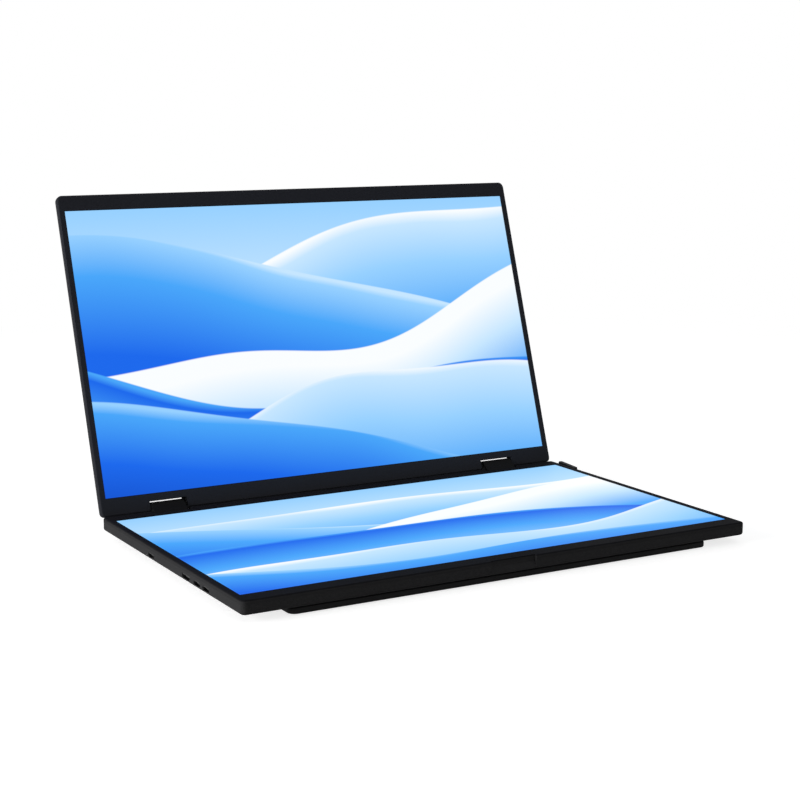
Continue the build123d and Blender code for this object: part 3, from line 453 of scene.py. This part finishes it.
case_tones = greys(0.022, 0.034)
lid_bezel_tones = (linear(41, 42, 47), linear(50, 51, 56))
# The base bezel's tones are painted shade: darker than the lid bezel's, for the shade under the lid and against
# the lid screen's light.
base_bezel_shaded_tones = (linear(22, 22, 25), linear(28, 28, 31))
print("casing's tones", [[round(level, 4) for level in tone] for tone in case_tones])

# %% Make the plain finishes
metal = {"texture": lines, "metallic": 1.0}
base_bezel_edge = (0.0126, 0.0133)
# Each row has a name, two tones, a roughness range, a bump in microns and what else is special.
plain_rows = [
    ("case_grey", case_tones, (0.66, 0.74), 22, {"per_metre": 1900, "specular": 0.03}),
    ("bezel_black", lid_bezel_tones, (0.68, 0.76), 9, {"per_metre": 2600, "specular": 0.02}),
    ("light_guide", greys(0.72, 0.85), (0.4, 0.5), 5, {"per_metre": 900}),
    ("tray_steel", greys(0.5, 0.62), (0.3, 0.4), 4, {"per_metre": 2400, **metal}),
    ("chip_black", greys(0.014, 0.022), (0.55, 0.65), 10, {"per_metre": 4000}),
    # The socket metal's near-black tones are painted shade, so that the inside of each socket looks dark.
    ("socket_metal", greys(0.045, 0.075), (0.4, 0.5), 3, {"per_metre": 5000, **metal}),
    ("tongue_black", greys(0.008, 0.013), (0.4, 0.5), 6, {"per_metre": 5000}),
    ("speaker_black", greys(0.012, 0.02), (0.6, 0.7), 20, {"per_metre": 1800}),
    ("key_black", greys(0.008, 0.012), (0.55, 0.62), 8, {"per_metre": 2600, "specular": 0.04}),
    ("stand_grey", greys(0.0138, 0.0204), (0.6, 0.7), 18, {"per_metre": 1900, "specular": 0.04}),
    ("rubber_black", greys(0.009, 0.016), (0.78, 0.9), 30, {"per_metre": 1100, "specular": 0.2}),
    (
        "hinge_black", greys(0.005, 0.008), (0.55, 0.62), 7,
        {"texture": lines, "per_metre": 3000, "specular": 0.04},
    ),
    ("bracket_black", greys(0.006, 0.01), (0.55, 0.65), 8, {"per_metre": 3200, "specular": 0.04}),
    ("hinge_steel", greys(0.42, 0.55), (0.26, 0.36), 4, {"per_metre": 4200, **metal}),
]
finishes = {
    name: make_finish(name, tones, roughness, microns, **special)
    for name, tones, roughness, microns, special in plain_rows
}
# Painted shade on the base bezel's top only; below the edge heights it keeps the casing's tones.
base_bezel_shaded_finish = make_finish(
    "base_bezel_painted_shade", base_bezel_shaded_tones, (0.7, 0.78), 9, per_metre=2600, specular=0.01,
    lower=(case_tones, base_bezel_edge),
)
print("finishes", sorted(finishes))

# %% [markdown]
# ## Boards and flat cables
#
# A circuit board is green lacquer over copper tracks, and a flat cable is amber film over
# parallel wires. Both could be modelled track by track, but they lie inside the casing, so a
# pattern of straight runs in two tones, slightly raised, is enough.

# %% Boards and cables
track_pattern = {"offset": 0.37, "squash": 1.6, "squash_frequency": 3}
track_width, track_softness = 0.06, 0.2
track_height, track_strength = 20 * micron, 0.5
second_film_share = 0.8
board_smudges, roughness_spread = 60.0, 0.1


def make_printed(name, film, track, per_metre, roughness):
    """A film or lacquer with raised straight tracks under it."""
    material, tree, shader, where = new_material(name)
    second_film = [level * second_film_share for level in film]
    bricks = add_node(
        tree, "ShaderNodeTexBrick", track_pattern,
        {
            "Vector": where, "Scale": per_metre,
            "Mortar Size": track_width, "Mortar Smooth": track_softness,
            "Color1": (*film, 1), "Color2": (*second_film, 1), "Mortar": (*track, 1),
        },
    ).outputs
    raised = add_node(
        tree, "ShaderNodeBump",
        inputs={"Distance": track_height, "Strength": track_strength, "Height": bricks["Fac"]},
    )
    marks = place_group(tree, smudges, {"Vector": where, "Smudges per metre": board_smudges})
    rough = range_node(
        tree, marks.outputs["Mask"], result=(roughness, roughness + roughness_spread),
    )
    tree.links.new(bricks["Color"], shader.inputs["Base Color"])
    tree.links.new(rough, shader.inputs["Roughness"])
    tree.links.new(raised.outputs[0], shader.inputs["Normal"])
    return material


board_film, board_track = (0.02, 0.16, 0.06), (0.06, 0.32, 0.12)
cable_film, cable_wire = (0.3, 0.16, 0.04), (0.5, 0.3, 0.1)
finishes["board_green"] = make_printed("board_green", board_film, board_track, 160, 0.3)
finishes["cable_film"] = make_printed("cable_film", cable_film, cable_wire, 420, 0.35)
print("finishes so far", len(finishes))

# %% [markdown]
# ## The picture on the screens
#
# A lit screen shows its own light, so the picture is an emission colour over dark, slightly matt
# glass. The design is a plain one of this lesson's own: soft slopes that overlap like dunes, in
# sky blue, azure, cobalt and white. It could be an image file, but nodes stay sharp at any size.
# Each slope is a curve of two sines, and the depth below its crest picks the colour. Both screens
# use the same group, with a different phase.

# %% The picture's sky
sky_blue, pale_blue, azure = linear(150, 208, 255), linear(198, 230, 255), linear(72, 166, 250)
cobalt, deep_blue, snow = linear(24, 104, 236), linear(10, 66, 190), linear(250, 253, 255)
haze_span = (-0.2, 0.5)

picture, picture_in, picture_out = new_group(
    "dune_picture", "ShaderNodeTree",
    [("Vector", vector_socket, None), ("Phase", float_socket, 0.0)],
    [("Color", colour_socket)],
)
picture_place, phase = picture_in.outputs["Vector"], picture_in.outputs["Phase"]
flat = add_node(picture, "ShaderNodeSeparateXYZ", inputs={0: picture_place})
across, height = flat.outputs["X"], flat.outputs["Y"]
haze = range_node(picture, height, haze_span)
shown = ramp_node(picture, haze, [(0.0, snow), (0.5, pale_blue), (1.0, sky_blue)])
print("sky of the picture ready")

# %% The picture's slopes
# Each slope has a level, a swell, waves per screen height, a turn and a lean.
slope_shapes = [
    (0.30, 0.10, 2.1, 0.4, 0.12),
    (0.16, 0.13, 1.7, 2.2, -0.16),
    (0.02, 0.09, 2.6, 4.1, 0.20),
    (-0.12, 0.12, 1.9, 5.3, -0.10),
    (-0.24, 0.08, 2.9, 0.9, 0.10),
    (-0.36, 0.07, 2.3, 3.0, -0.14),
]
# The colours go from the crest, at 0, down to the slope's full depth, at 1.
slope_colours = [
    [(0.0, snow), (0.10, pale_blue), (0.45, sky_blue), (1.0, azure)],
    [(0.0, pale_blue), (0.05, sky_blue), (0.40, azure), (1.0, cobalt)],
    [(0.0, snow), (0.16, snow), (0.55, pale_blue), (1.0, azure)],
    [(0.0, azure), (0.06, cobalt), (0.45, azure), (1.0, sky_blue)],
    [(0.0, snow), (0.08, pale_blue), (0.5, sky_blue), (1.0, azure)],
    [(0.0, sky_blue), (0.08, azure), (0.5, cobalt), (1.0, deep_blue)],
]
slope_depth = 0.42
crest_span = (0.0, 0.006)
short_wave_rate, short_wave_share = 2.3, 0.25
ripple_scale, ripple_detail = 1.1, 1.0
sway_reach, sway_share = 0.17, 0.35

ripple = add_node(
    picture, "ShaderNodeTexNoise",
    inputs={"Vector": picture_place, "Scale": ripple_scale, "Detail": ripple_detail},
).outputs["Fac"]
sway = math_node(picture, "MULTIPLY_ADD", ripple, 2 * sway_reach, -sway_reach)
for (rest_level, swell, waves, turn, tilt), colours in zip(slope_shapes, slope_colours):
    start = math_node(picture, "ADD", phase, turn)
    angle = math_node(picture, "MULTIPLY_ADD", across, waves, start)
    long_wave = math_node(picture, "MULTIPLY", math_node(picture, "SINE", angle), swell)
    short_sine = math_node(picture, "SINE", math_node(picture, "MULTIPLY", angle, short_wave_rate))
    short_wave = math_node(picture, "MULTIPLY", short_sine, swell * short_wave_share)
    rise = math_node(picture, "MULTIPLY_ADD", across, tilt, rest_level)
    crest = math_node(picture, "ADD", math_node(picture, "ADD", long_wave, short_wave), rise)
    depth = math_node(picture, "SUBTRACT", crest, height)
    bent = math_node(picture, "MULTIPLY_ADD", sway, sway_share, depth)
    tint = ramp_node(picture, math_node(picture, "DIVIDE", bent, slope_depth), colours)
    below_crest = range_node(picture, depth, crest_span, curve="SMOOTHSTEP")
    shown = mix_colours(picture, below_crest, shown, tint)
picture.links.new(shown, picture_out.inputs["Color"])
print("picture of", len(slope_shapes), "slopes")

# %% [markdown]
# ## The two screens
#
# The lit area ends 2.4 mm inside the panel at the sides, and the panel's edge stays black. The
# lit area could be a solid of its own, but the real panel is one sheet, so a mask cuts the
# picture to the lit rectangle. A Mapping node lays the picture flat on each panel: the base's
# lies level, and the lid's leans back with the lid.

# %% Where the lit areas are
lit_width, lit_height = 0.34416, 0.19359
side_border, lit_from_axis = 0.0024, 0.0101
opening_angle = 108.57
lean = radians(opening_angle) - pi / 2

lid_joint = next(joint for joint in frame["joints"] if joint["name"] == "lid_fold")
lid_axis = Vector(lid_joint["pos_m"])
lid_up = Vector((0, sin(lean), cos(lean)))
base_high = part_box("base_screen")[1]
lit_centres = {
    "base_screen": Vector((0, base_high.y - side_border - lit_height / 2, base_high.z)),
    "lid_screen": lid_axis + lid_up * (lit_from_axis + lit_height / 2),
}
screen_turns = {"base_screen": 0.0, "lid_screen": pi / 2 - lean}
screen_phases = {"base_screen": 2.6, "lid_screen": 0.0}
print("lit", {node: [round(v, 4) for v in centre] for node, centre in lit_centres.items()})

# %% Screen finishes
glass_colour, glass_specular = (0.004, 0.004, 0.005, 1), 0.03
coat_grains, coat_roughness = 6000.0, (0.52, 0.6)
half_height, half_width = 0.5, lit_width / lit_height / 2


def within(tree, value, reach):
    """One where a value is less than a reach away from zero."""
    return math_node(tree, "LESS_THAN", math_node(tree, "ABSOLUTE", value), reach)


def make_screen_finish(node):
    """Dark glass that shows the picture inside the lit rectangle."""
    material, tree, shader, where = new_material(node + "_lit")
    laid = add_node(
        tree, "ShaderNodeMapping", {"vector_type": "TEXTURE"},
        {
            "Vector": where, "Location": lit_centres[node],
            "Rotation": (screen_turns[node], 0, 0), "Scale": (lit_height, lit_height, lit_height),
        },
    ).outputs[0]
    shown = place_group(tree, picture, {"Vector": laid, "Phase": screen_phases[node]})
    flat = add_node(tree, "ShaderNodeSeparateXYZ", inputs={0: laid}).outputs
    inside_x, inside_y = within(tree, flat["X"], half_width), within(tree, flat["Y"], half_height)
    lit = math_node(tree, "MULTIPLY", inside_x, inside_y)
    cut = mix_colours(tree, lit, black, shown.outputs["Color"])
    coat = place_group(tree, grain, {"Vector": where, "Grains per metre": coat_grains})
    rough = range_node(tree, coat.outputs["Shade"], result=coat_roughness)
    tree.links.new(cut, shader.inputs["Emission Color"])
    tree.links.new(rough, shader.inputs["Roughness"])
    shader.inputs["Emission Strength"].default_value = 1.0
    shader.inputs["Base Color"].default_value = glass_colour
    shader.inputs["Specular IOR Level"].default_value = glass_specular
    return material


screen_finishes = {node: make_screen_finish(node) for node in lit_centres}
print("screen finishes", [finish.name for finish in screen_finishes.values()])

# %% [markdown]
# ## Dress the solids
#
# The record names a material slot for every solid. The solids could be copied and painted, but
# they already have the right shapes, so each mesh stays as it is, and only the material in its
# slots changes. The screens and the base's bezel have finishes of their own.

# %% Assign the finishes
slot_of = {piece["node"]: piece["material_slot"] for piece in frame["record"]["subparts"]}
own_finishes = {**screen_finishes, "base_bezel": base_bezel_shaded_finish}
for name, solid in nodes.items():
    dressed = own_finishes.get(name) or finishes[slot_of[name]]
    if not solid.material_slots:
        solid.data.materials.append(dressed)
    for slot in solid.material_slots:
        slot.material = dressed
print("dressed", len(nodes), "solids")

# %% [markdown]
# ## Growing small pieces
#
# Contact pads, ribs and screws repeat one shape many times. They could be copied in a loop, but a
# Geometry Nodes tree states the rule once, with its sizes as named inputs. Each tree takes a few
# points, puts its copies on them, and ends as a plain mesh, which rides on the body that carries
# it.

# %% Helpers inside the trees
geometry_socket, object_socket = "NodeSocketGeometry", "NodeSocketObject"
material_socket, count_socket, switch_socket = (
    "NodeSocketMaterial", "NodeSocketInt", "NodeSocketBool",
)
corner_steps = 8


def vector_node(tree, x=0.0, y=0.0, z=0.0):
    """A vector from values or sockets."""
    return add_node(tree, "ShaderNodeCombineXYZ", inputs={"X": x, "Y": y, "Z": z}).outputs[0]


def join_node(tree, *parts):
    """Several meshes as one."""
    joined = tree.nodes.new("GeometryNodeJoinGeometry")
    for part in parts:
        tree.links.new(part, joined.inputs[0])
    return joined.outputs[0]


def move_node(tree, part, **moves):
    """A mesh moved or turned."""
    return add_node(tree, "GeometryNodeTransform", inputs={"Geometry": part, **moves}).outputs[0]


def copies_node(tree, points, part):
    """Copies of a part on points."""
    inputs = {"Points": points, "Instance": part}
    return add_node(tree, "GeometryNodeInstanceOnPoints", inputs=inputs)


def line_node(tree, count, start, step):
    """Points on a line, from a start and by equal steps."""
    inputs = {"Count": count, "Start Location": start, "Offset": step}
    return add_node(tree, "GeometryNodeMeshLine", {"mode": "OFFSET"}, inputs).outputs[0]


def rounded_slab(tree, length, width, corner, thickness):
    """A closed slab that stands on the ground plane, with its four upright edges rounded."""
    sharp = add_node(
        tree, "GeometryNodeCurvePrimitiveQuadrilateral", inputs={"Width": length, "Height": width},
    ).outputs[0]
    outline = add_node(
        tree, "GeometryNodeFilletCurve", {"mode": "POLY"},
        {"Curve": sharp, "Count": corner_steps, "Radius": corner, "Limit Radius": True},
    ).outputs[0]
    face = add_node(tree, "GeometryNodeFillCurve", {"mode": "NGONS"}, {"Curve": outline}).outputs[0]
    raised = add_node(
        tree, "GeometryNodeExtrudeMesh",
        inputs={"Mesh": face, "Offset Scale": thickness, "Individual": False},
    )
    under = add_node(tree, "GeometryNodeFlipFaces", inputs={"Mesh": face})
    closed = join_node(tree, raised.outputs["Mesh"], under.outputs[0])
    return add_node(
        tree, "GeometryNodeMergeByDistance", inputs={"Geometry": closed, "Distance": micron},
    ).outputs[0]


print("helpers inside the trees ready")


# %% Start, end and grow a tree
def new_tree(name, inputs):
    """A tree that takes points and gives a mesh, with its own inputs between them."""
    sockets = [("Points", geometry_socket, None), *inputs, ("Material", material_socket, None)]
    outputs = [("Mesh", geometry_socket)]
    tree, tree_in, tree_out = new_group(name, "GeometryNodeTree", sockets, outputs)
    return tree, tree_in.outputs, tree_out


def end_tree(tree, tree_in, tree_out, part, turn=None):
    """Put the part on the tree's points, make the copies real and give them their material."""
    placed = copies_node(tree, tree_in["Points"], part)
    if turn is not None:
        tree.links.new(turn, placed.inputs["Rotation"])
    real = add_node(tree, "GeometryNodeRealizeInstances", inputs={"Geometry": placed.outputs[0]})
    dressed = add_node(
        tree, "GeometryNodeSetMaterial",
        inputs={"Geometry": real.outputs[0], "Material": tree_in["Material"]},
    )
    tree.links.new(dressed.outputs[0], tree_out.inputs[0])


def grow(name, tree, places, sizes, finish):
    """The plain mesh that a tree makes on some places."""
    spots = bpy.data.meshes.new(name + "_spots")
    spots.from_pydata([tuple(place) for place in places], [], [])
    holder = add_object(name + "_spots", spots)
    growth = holder.modifiers.new("growth", "NODES")
    growth.node_group = tree
    items = tree.interface.items_tree
    keys = {item.name: item.identifier for item in items if item.in_out == "INPUT"}
    for label, value in {**sizes, "Material": finish}.items():
        growth[keys[label]] = value
    bpy.context.view_layer.update()
    grown = holder.evaluated_get(bpy.context.evaluated_depsgraph_get())
    mesh = bpy.data.meshes.new_from_object(grown)
    bpy.data.objects.remove(holder)
    print(name, "has", len(mesh.polygons), "faces")
    return add_object(name, mesh)


print("helpers for whole trees ready")

# %% [markdown]
# ## Contact pads in the sockets
#
# Inside each socket is a thin black tongue with a row of gilded contact pads. A small socket's
# tongue has twelve on each side, half a millimetre apart, and the wide socket's has nineteen on
# one side. A striped finish could stand for them, but real pads catch the light on their edges.
# One tree makes both kinds.

# %% The tree of the pads
pads, pads_in, pads_out = new_tree(
    "contact_pads",
    [
        ("Pads", count_socket, 12), ("Pitch", float_socket, 0.0005),
        ("Pad length", float_socket, 0.0026), ("Pad width", float_socket, 0.0003),
        ("Pad height", float_socket, 0.00005), ("Tongue thickness", float_socket, 0.0007),
        ("Both sides", switch_socket, True),
    ],
)
pad_corner_share = 0.4
pad_width, pitch = pads_in["Pad width"], pads_in["Pitch"]
pad_corner = math_node(pads, "MULTIPLY", pad_width, pad_corner_share)
pad = rounded_slab(pads, pads_in["Pad length"], pad_width, pad_corner, pads_in["Pad height"])
gaps = math_node(pads, "SUBTRACT", pads_in["Pads"], 1.0)
row_width = math_node(pads, "MULTIPLY", gaps, pitch)
row_start = vector_node(pads, y=math_node(pads, "MULTIPLY", row_width, -0.5))
row_line = line_node(pads, pads_in["Pads"], row_start, vector_node(pads, y=pitch))
row = copies_node(pads, row_line, pad).outputs[0]
half_tongue = math_node(pads, "MULTIPLY", pads_in["Tongue thickness"], 0.5)
upper_row = move_node(pads, row, Translation=vector_node(pads, z=half_tongue))
lower_row = move_node(pads, upper_row, Rotation=(pi, 0, 0))
other_side = add_node(
    pads, "GeometryNodeSwitch", {"input_type": "GEOMETRY"},
    {"Switch": pads_in["Both sides"], "True": lower_row},
)
end_tree(pads, pads_in, pads_out, join_node(pads, upper_row, other_side.outputs[0]))
print("tree", pads.name)

# %% Grow the pads
gold_tones = ((0.5, 0.34, 0.12), (0.62, 0.43, 0.17))
contact_gold = make_finish("contact_gold", gold_tones, (0.3, 0.4), 1, per_metre=9000, **metal)
tongue_low, tongue_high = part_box("socket_tongues")
pad_inset, pad_length = 0.0004, 0.0026
pad_middle = tongue_low.x + pad_inset + pad_length / 2
tongue_level = (tongue_low.z + tongue_high.z) / 2


def pad_place(socket):
    """The middle of a socket's row of pads."""
    low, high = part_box(socket)
    return (pad_middle, (low.y + high.y) / 2, tongue_level)


small_sockets = ["usb_c_power_socket", "usb_c_first_socket", "usb_c_second_socket"]
small_row = {"Pads": 12, "Pitch": 0.0005, "Pad width": 0.0003, "Both sides": True}
wide_row = {"Pads": 19, "Pitch": 0.00038, "Pad width": 0.00022, "Both sides": False}
small_pads = grow(
    "small_socket_pads", pads, [pad_place(socket) for socket in small_sockets],
    {**small_row, "Pad length": pad_length}, contact_gold,
)
wide_pads = grow(
    "wide_socket_pads", pads, [pad_place("mini_hdmi_socket")],
    {**wide_row, "Pad length": pad_length}, contact_gold,
)
for piece in (small_pads, wide_pads):
    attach(piece, "base")

# %% [markdown]
# ## Ribbed rubber feet
#
# The stand's foot strip and the two rear feet are soft rubber with ribs across, so that they grip
# a desk. The ribs could be a bump, but they show in outline, so they are real. Each rib is a
# round bar sunk halfway into the slab, and the tree shortens the bars towards the round ends. The
# lowest line of the ribs is where the plain foot ended.

# %% The slab of a foot
feet, feet_in, feet_out = new_tree(
    "ribbed_foot",
    [
        ("Length", float_socket, 0.044), ("Width", float_socket, 0.011),
        ("Height", float_socket, 0.005), ("Rib pitch", float_socket, 0.002),
        ("Rib radius", float_socket, 0.0005), ("Margin", float_socket, 0.001),
    ],
)
rib_pitch, rib_radius = feet_in["Rib pitch"], feet_in["Rib radius"]
# A little less than a half, so that the round ends keep their middle points apart.
half_share = 0.499
foot_half = math_node(feet, "MULTIPLY", feet_in["Width"], half_share)
slab_height = math_node(feet, "SUBTRACT", feet_in["Height"], rib_radius)
slab = rounded_slab(feet, feet_in["Length"], feet_in["Width"], foot_half, slab_height)
slab = move_node(feet, slab, Translation=vector_node(feet, z=rib_radius))
print("slab of", feet.name)

# %% The ribs of a foot
last_rib_share = 0.85
rib_sides = 12

rib_half = math_node(feet, "SUBTRACT", foot_half, feet_in["Margin"])
half_length = math_node(feet, "MULTIPLY", feet_in["Length"], 0.5)
straight_half = math_node(feet, "SUBTRACT", half_length, foot_half)
last_rib = math_node(feet, "MULTIPLY_ADD", rib_half, last_rib_share, straight_half)
ribs_each_way = math_node(feet, "FLOOR", math_node(feet, "DIVIDE", last_rib, rib_pitch))
rib_count = math_node(feet, "MULTIPLY_ADD", ribs_each_way, 2.0, 1.0)
rib_reach = math_node(feet, "MULTIPLY", ribs_each_way, rib_pitch)
rib_start = vector_node(feet, x=math_node(feet, "MULTIPLY", rib_reach, -1.0), z=rib_radius)
rib_line = line_node(feet, rib_count, rib_start, vector_node(feet, x=rib_pitch))

rib_path = add_node(
    feet, "GeometryNodeCurvePrimitiveLine",
    inputs={
        "Start": vector_node(feet, y=math_node(feet, "MULTIPLY", rib_half, -1.0)),
        "End": vector_node(feet, y=rib_half),
    },
)
rib_round = add_node(
    feet, "GeometryNodeCurvePrimitiveCircle",
    inputs={"Resolution": rib_sides, "Radius": rib_radius},
)
rib_bar = add_node(
    feet, "GeometryNodeCurveToMesh",
    inputs={
        "Curve": rib_path.outputs[0], "Profile Curve": rib_round.outputs[0], "Fill Caps": True,
    },
)
print("ribs of", feet.name)

# %% Shorter ribs at the ends
position = add_node(feet, "GeometryNodeInputPosition").outputs[0]
rib_spot = add_node(feet, "ShaderNodeSeparateXYZ", inputs={0: position})
from_middle = math_node(feet, "ABSOLUTE", rib_spot.outputs["X"])
past_straight = math_node(feet, "SUBTRACT", from_middle, straight_half)
past_share = math_node(feet, "DIVIDE", math_node(feet, "MAXIMUM", past_straight, 0.0), rib_half)
past_square = math_node(feet, "MULTIPLY", past_share, past_share)
rib_share = math_node(feet, "SQRT", math_node(feet, "SUBTRACT", 1.0, past_square))
ribs = copies_node(feet, rib_line, rib_bar.outputs[0])
feet.links.new(vector_node(feet, 1.0, rib_share, 1.0), ribs.inputs["Scale"])
end_tree(feet, feet_in, feet_out, join_node(feet, slab, ribs.outputs[0]))
print("tree", feet.name)


# %% Grow the feet
def foot_place(node):
    """The middle of a foot's lowest face."""
    low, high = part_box(node)
    return ((low.x + high.x) / 2, (low.y + high.y) / 2, low.z)


def foot_sizes(node):
    """A foot's length, width and height."""
    low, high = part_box(node)
    return {"Length": high.x - low.x, "Width": high.y - low.y, "Height": high.z - low.z}


rear_ribs = {"Rib pitch": 0.0022, "Rib radius": 0.0006, "Margin": 0.0012}
rear_feet = grow(
    "ribbed_rear_feet", feet, [foot_place("rear_foot_left"), foot_place("rear_foot_right")],
    {**foot_sizes("rear_foot_left"), **rear_ribs}, finishes["rubber_black"],
)
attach(rear_feet, "base")
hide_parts("rear_foot_left", "rear_foot_right")

strip_ribs = {"Rib pitch": 0.002, "Rib radius": 0.0004, "Margin": 0.0009}
foot_strip = grow(
    "ribbed_foot_strip", feet, [foot_place("stand_foot_strip")],
    {**foot_sizes("stand_foot_strip"), **strip_ribs}, finishes["rubber_black"],
)
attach(foot_strip, "stand")
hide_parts("stand_foot_strip")

# %% [markdown]
# ## Screws of the stand's hinge
#
# Two screws hold each lug of the stand under the base. The head is a low pan with a rounded rim
# and a cross recess that narrows towards its floor. A cut through a solid could make the recess,
# but it leaves long thin faces. Here the shape is made once, by turning a profile and filling the
# face round the cross. A tree sets it on four points and turns each screw by a random amount,
# because real screws stop wherever they are tight.

# %% The sizes of one screw
head_radius, head_height, shank_radius = 0.0018, 0.0007, 0.00095
turn_steps = 40
sharp_angle = radians(35)
# The rim goes outwards in shares of the head's radius and upwards in shares of its height.
rim_shares = [(0.86, 0.0), (0.95, 0.1), (1.0, 0.32), (1.0, 1.0)]
point_height_share, point_radius_share = 0.4, 0.6
wing_share, wing_half_share = 0.6, 0.13
recess_floor_share, recess_depth_share = 0.72, 0.62
screw_low, screw_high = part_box("stand_screws")
screw_length = screw_high.z - screw_low.z
print("screw", round(screw_length, 4), "m long")


# %% Make one screw
def screw_profile():
    """The screw's outline from its face upwards, as distances from its axis and heights."""
    point_start = screw_length - shank_radius * point_height_share
    rim = [(head_radius * out, head_height * rise) for out, rise in rim_shares]
    shank = [(shank_radius, head_height), (shank_radius, point_start)]
    return [*rim, *shank, (shank_radius * point_radius_share, screw_length)]


def cross_corners():
    """The twelve corners of the cross recess."""
    wing, wing_half = head_radius * wing_share, head_radius * wing_half_share
    arm = [(wing, -wing_half), (wing, wing_half), (wing_half, wing_half)]
    quarters = [Matrix.Rotation(quarter * pi / 2, 2) for quarter in range(4)]
    return [quarter @ Vector(corner) for quarter in quarters for corner in arm]


def add_band(mesh, first, second):
    """Faces between two closed rows of points."""
    for place in range(len(first)):
        after = (place + 1) % len(first)
        mesh.faces.new((first[place], first[after], second[after], second[place]))


def make_screw():
    """A screw whose head faces down, with the face of its head on the ground plane."""
    mesh = bmesh.new()
    turns = [2 * pi * step / turn_steps for step in range(turn_steps)]
    rings = [
        [mesh.verts.new((out * cos(turn), out * sin(turn), height)) for turn in turns]
        for out, height in screw_profile()
    ]
    for lower, upper in zip(rings, rings[1:]):
        add_band(mesh, lower, upper)
    mesh.faces.new(rings[-1])

    cross, share = cross_corners(), recess_floor_share
    recess_depth = head_height * recess_depth_share
    mouth = [mesh.verts.new((corner.x, corner.y, 0)) for corner in cross]
    bottom = [
        mesh.verts.new((corner.x * share, corner.y * share, recess_depth)) for corner in cross
    ]
    add_band(mesh, mouth, bottom)
    mesh.faces.new(bottom)
    borders = [
        mesh.edges.get((loop[place - 1], loop[place]))
        for loop in (rings[0], mouth)
        for place in range(len(loop))
    ]
    bmesh.ops.triangle_fill(mesh, edges=borders, use_beauty=True)
    bmesh.ops.recalc_face_normals(mesh, faces=mesh.faces)
    data = bpy.data.meshes.new("pan_screw")
    mesh.to_mesh(data)
    mesh.free()
    data.shade_smooth()
    data.set_sharp_from_angle(angle=sharp_angle)
    return data


screw_mesh = make_screw()
print("screw with", len(screw_mesh.polygons), "faces")

# %% The tree of the screws
driven, driven_in, driven_out = new_tree(
    "driven_screws", [("Screw", object_socket, None), ("Seed", count_socket, 5)],
)
one_screw = add_node(
    driven, "GeometryNodeObjectInfo", {"transform_space": "ORIGINAL"},
    {"Object": driven_in["Screw"]},
)
stop_angle = add_node(
    driven, "FunctionNodeRandomValue", {"data_type": "FLOAT"},
    {2: 0.0, 3: 2 * pi, "Seed": driven_in["Seed"]},
)
stopped = add_node(
    driven, "FunctionNodeEulerToRotation",
    inputs={0: vector_node(driven, z=stop_angle.outputs[1])},
)
end_tree(driven, driven_in, driven_out, one_screw.outputs["Geometry"], stopped.outputs[0])
print("tree", driven.name)

# %% Set the screws
screw_pair_half = 0.007
screw_row = (screw_low.y + screw_high.y) / 2
screw_places = []
for lug in ("stand_lug_left", "stand_lug_right"):
    low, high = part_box(lug)
    for side in (-1, 1):
        across_lug = (low.x + high.x) / 2 + side * screw_pair_half
        screw_places.append((across_lug, screw_row, screw_low.z))
pattern_screw = add_object("pattern_screw", screw_mesh)
stand_screws = grow(
    "stand_cross_screws", driven, screw_places, {"Screw": pattern_screw, "Seed": 5},
    finishes["hinge_steel"],
)
bpy.data.objects.remove(pattern_screw)
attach(stand_screws, "base")
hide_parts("stand_screws")

# %% [markdown]
# ## Check the size
#
# Nothing added here may stand outside the CAD model. That could be judged by eye, but numbers are
# surer, so the growth of the whole box over the CAD model's box is printed.

# %% Sizes
low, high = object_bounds()
print("box grew by", [round(a - b, 6) for a, b in zip(high - low, cad_high - cad_low)])
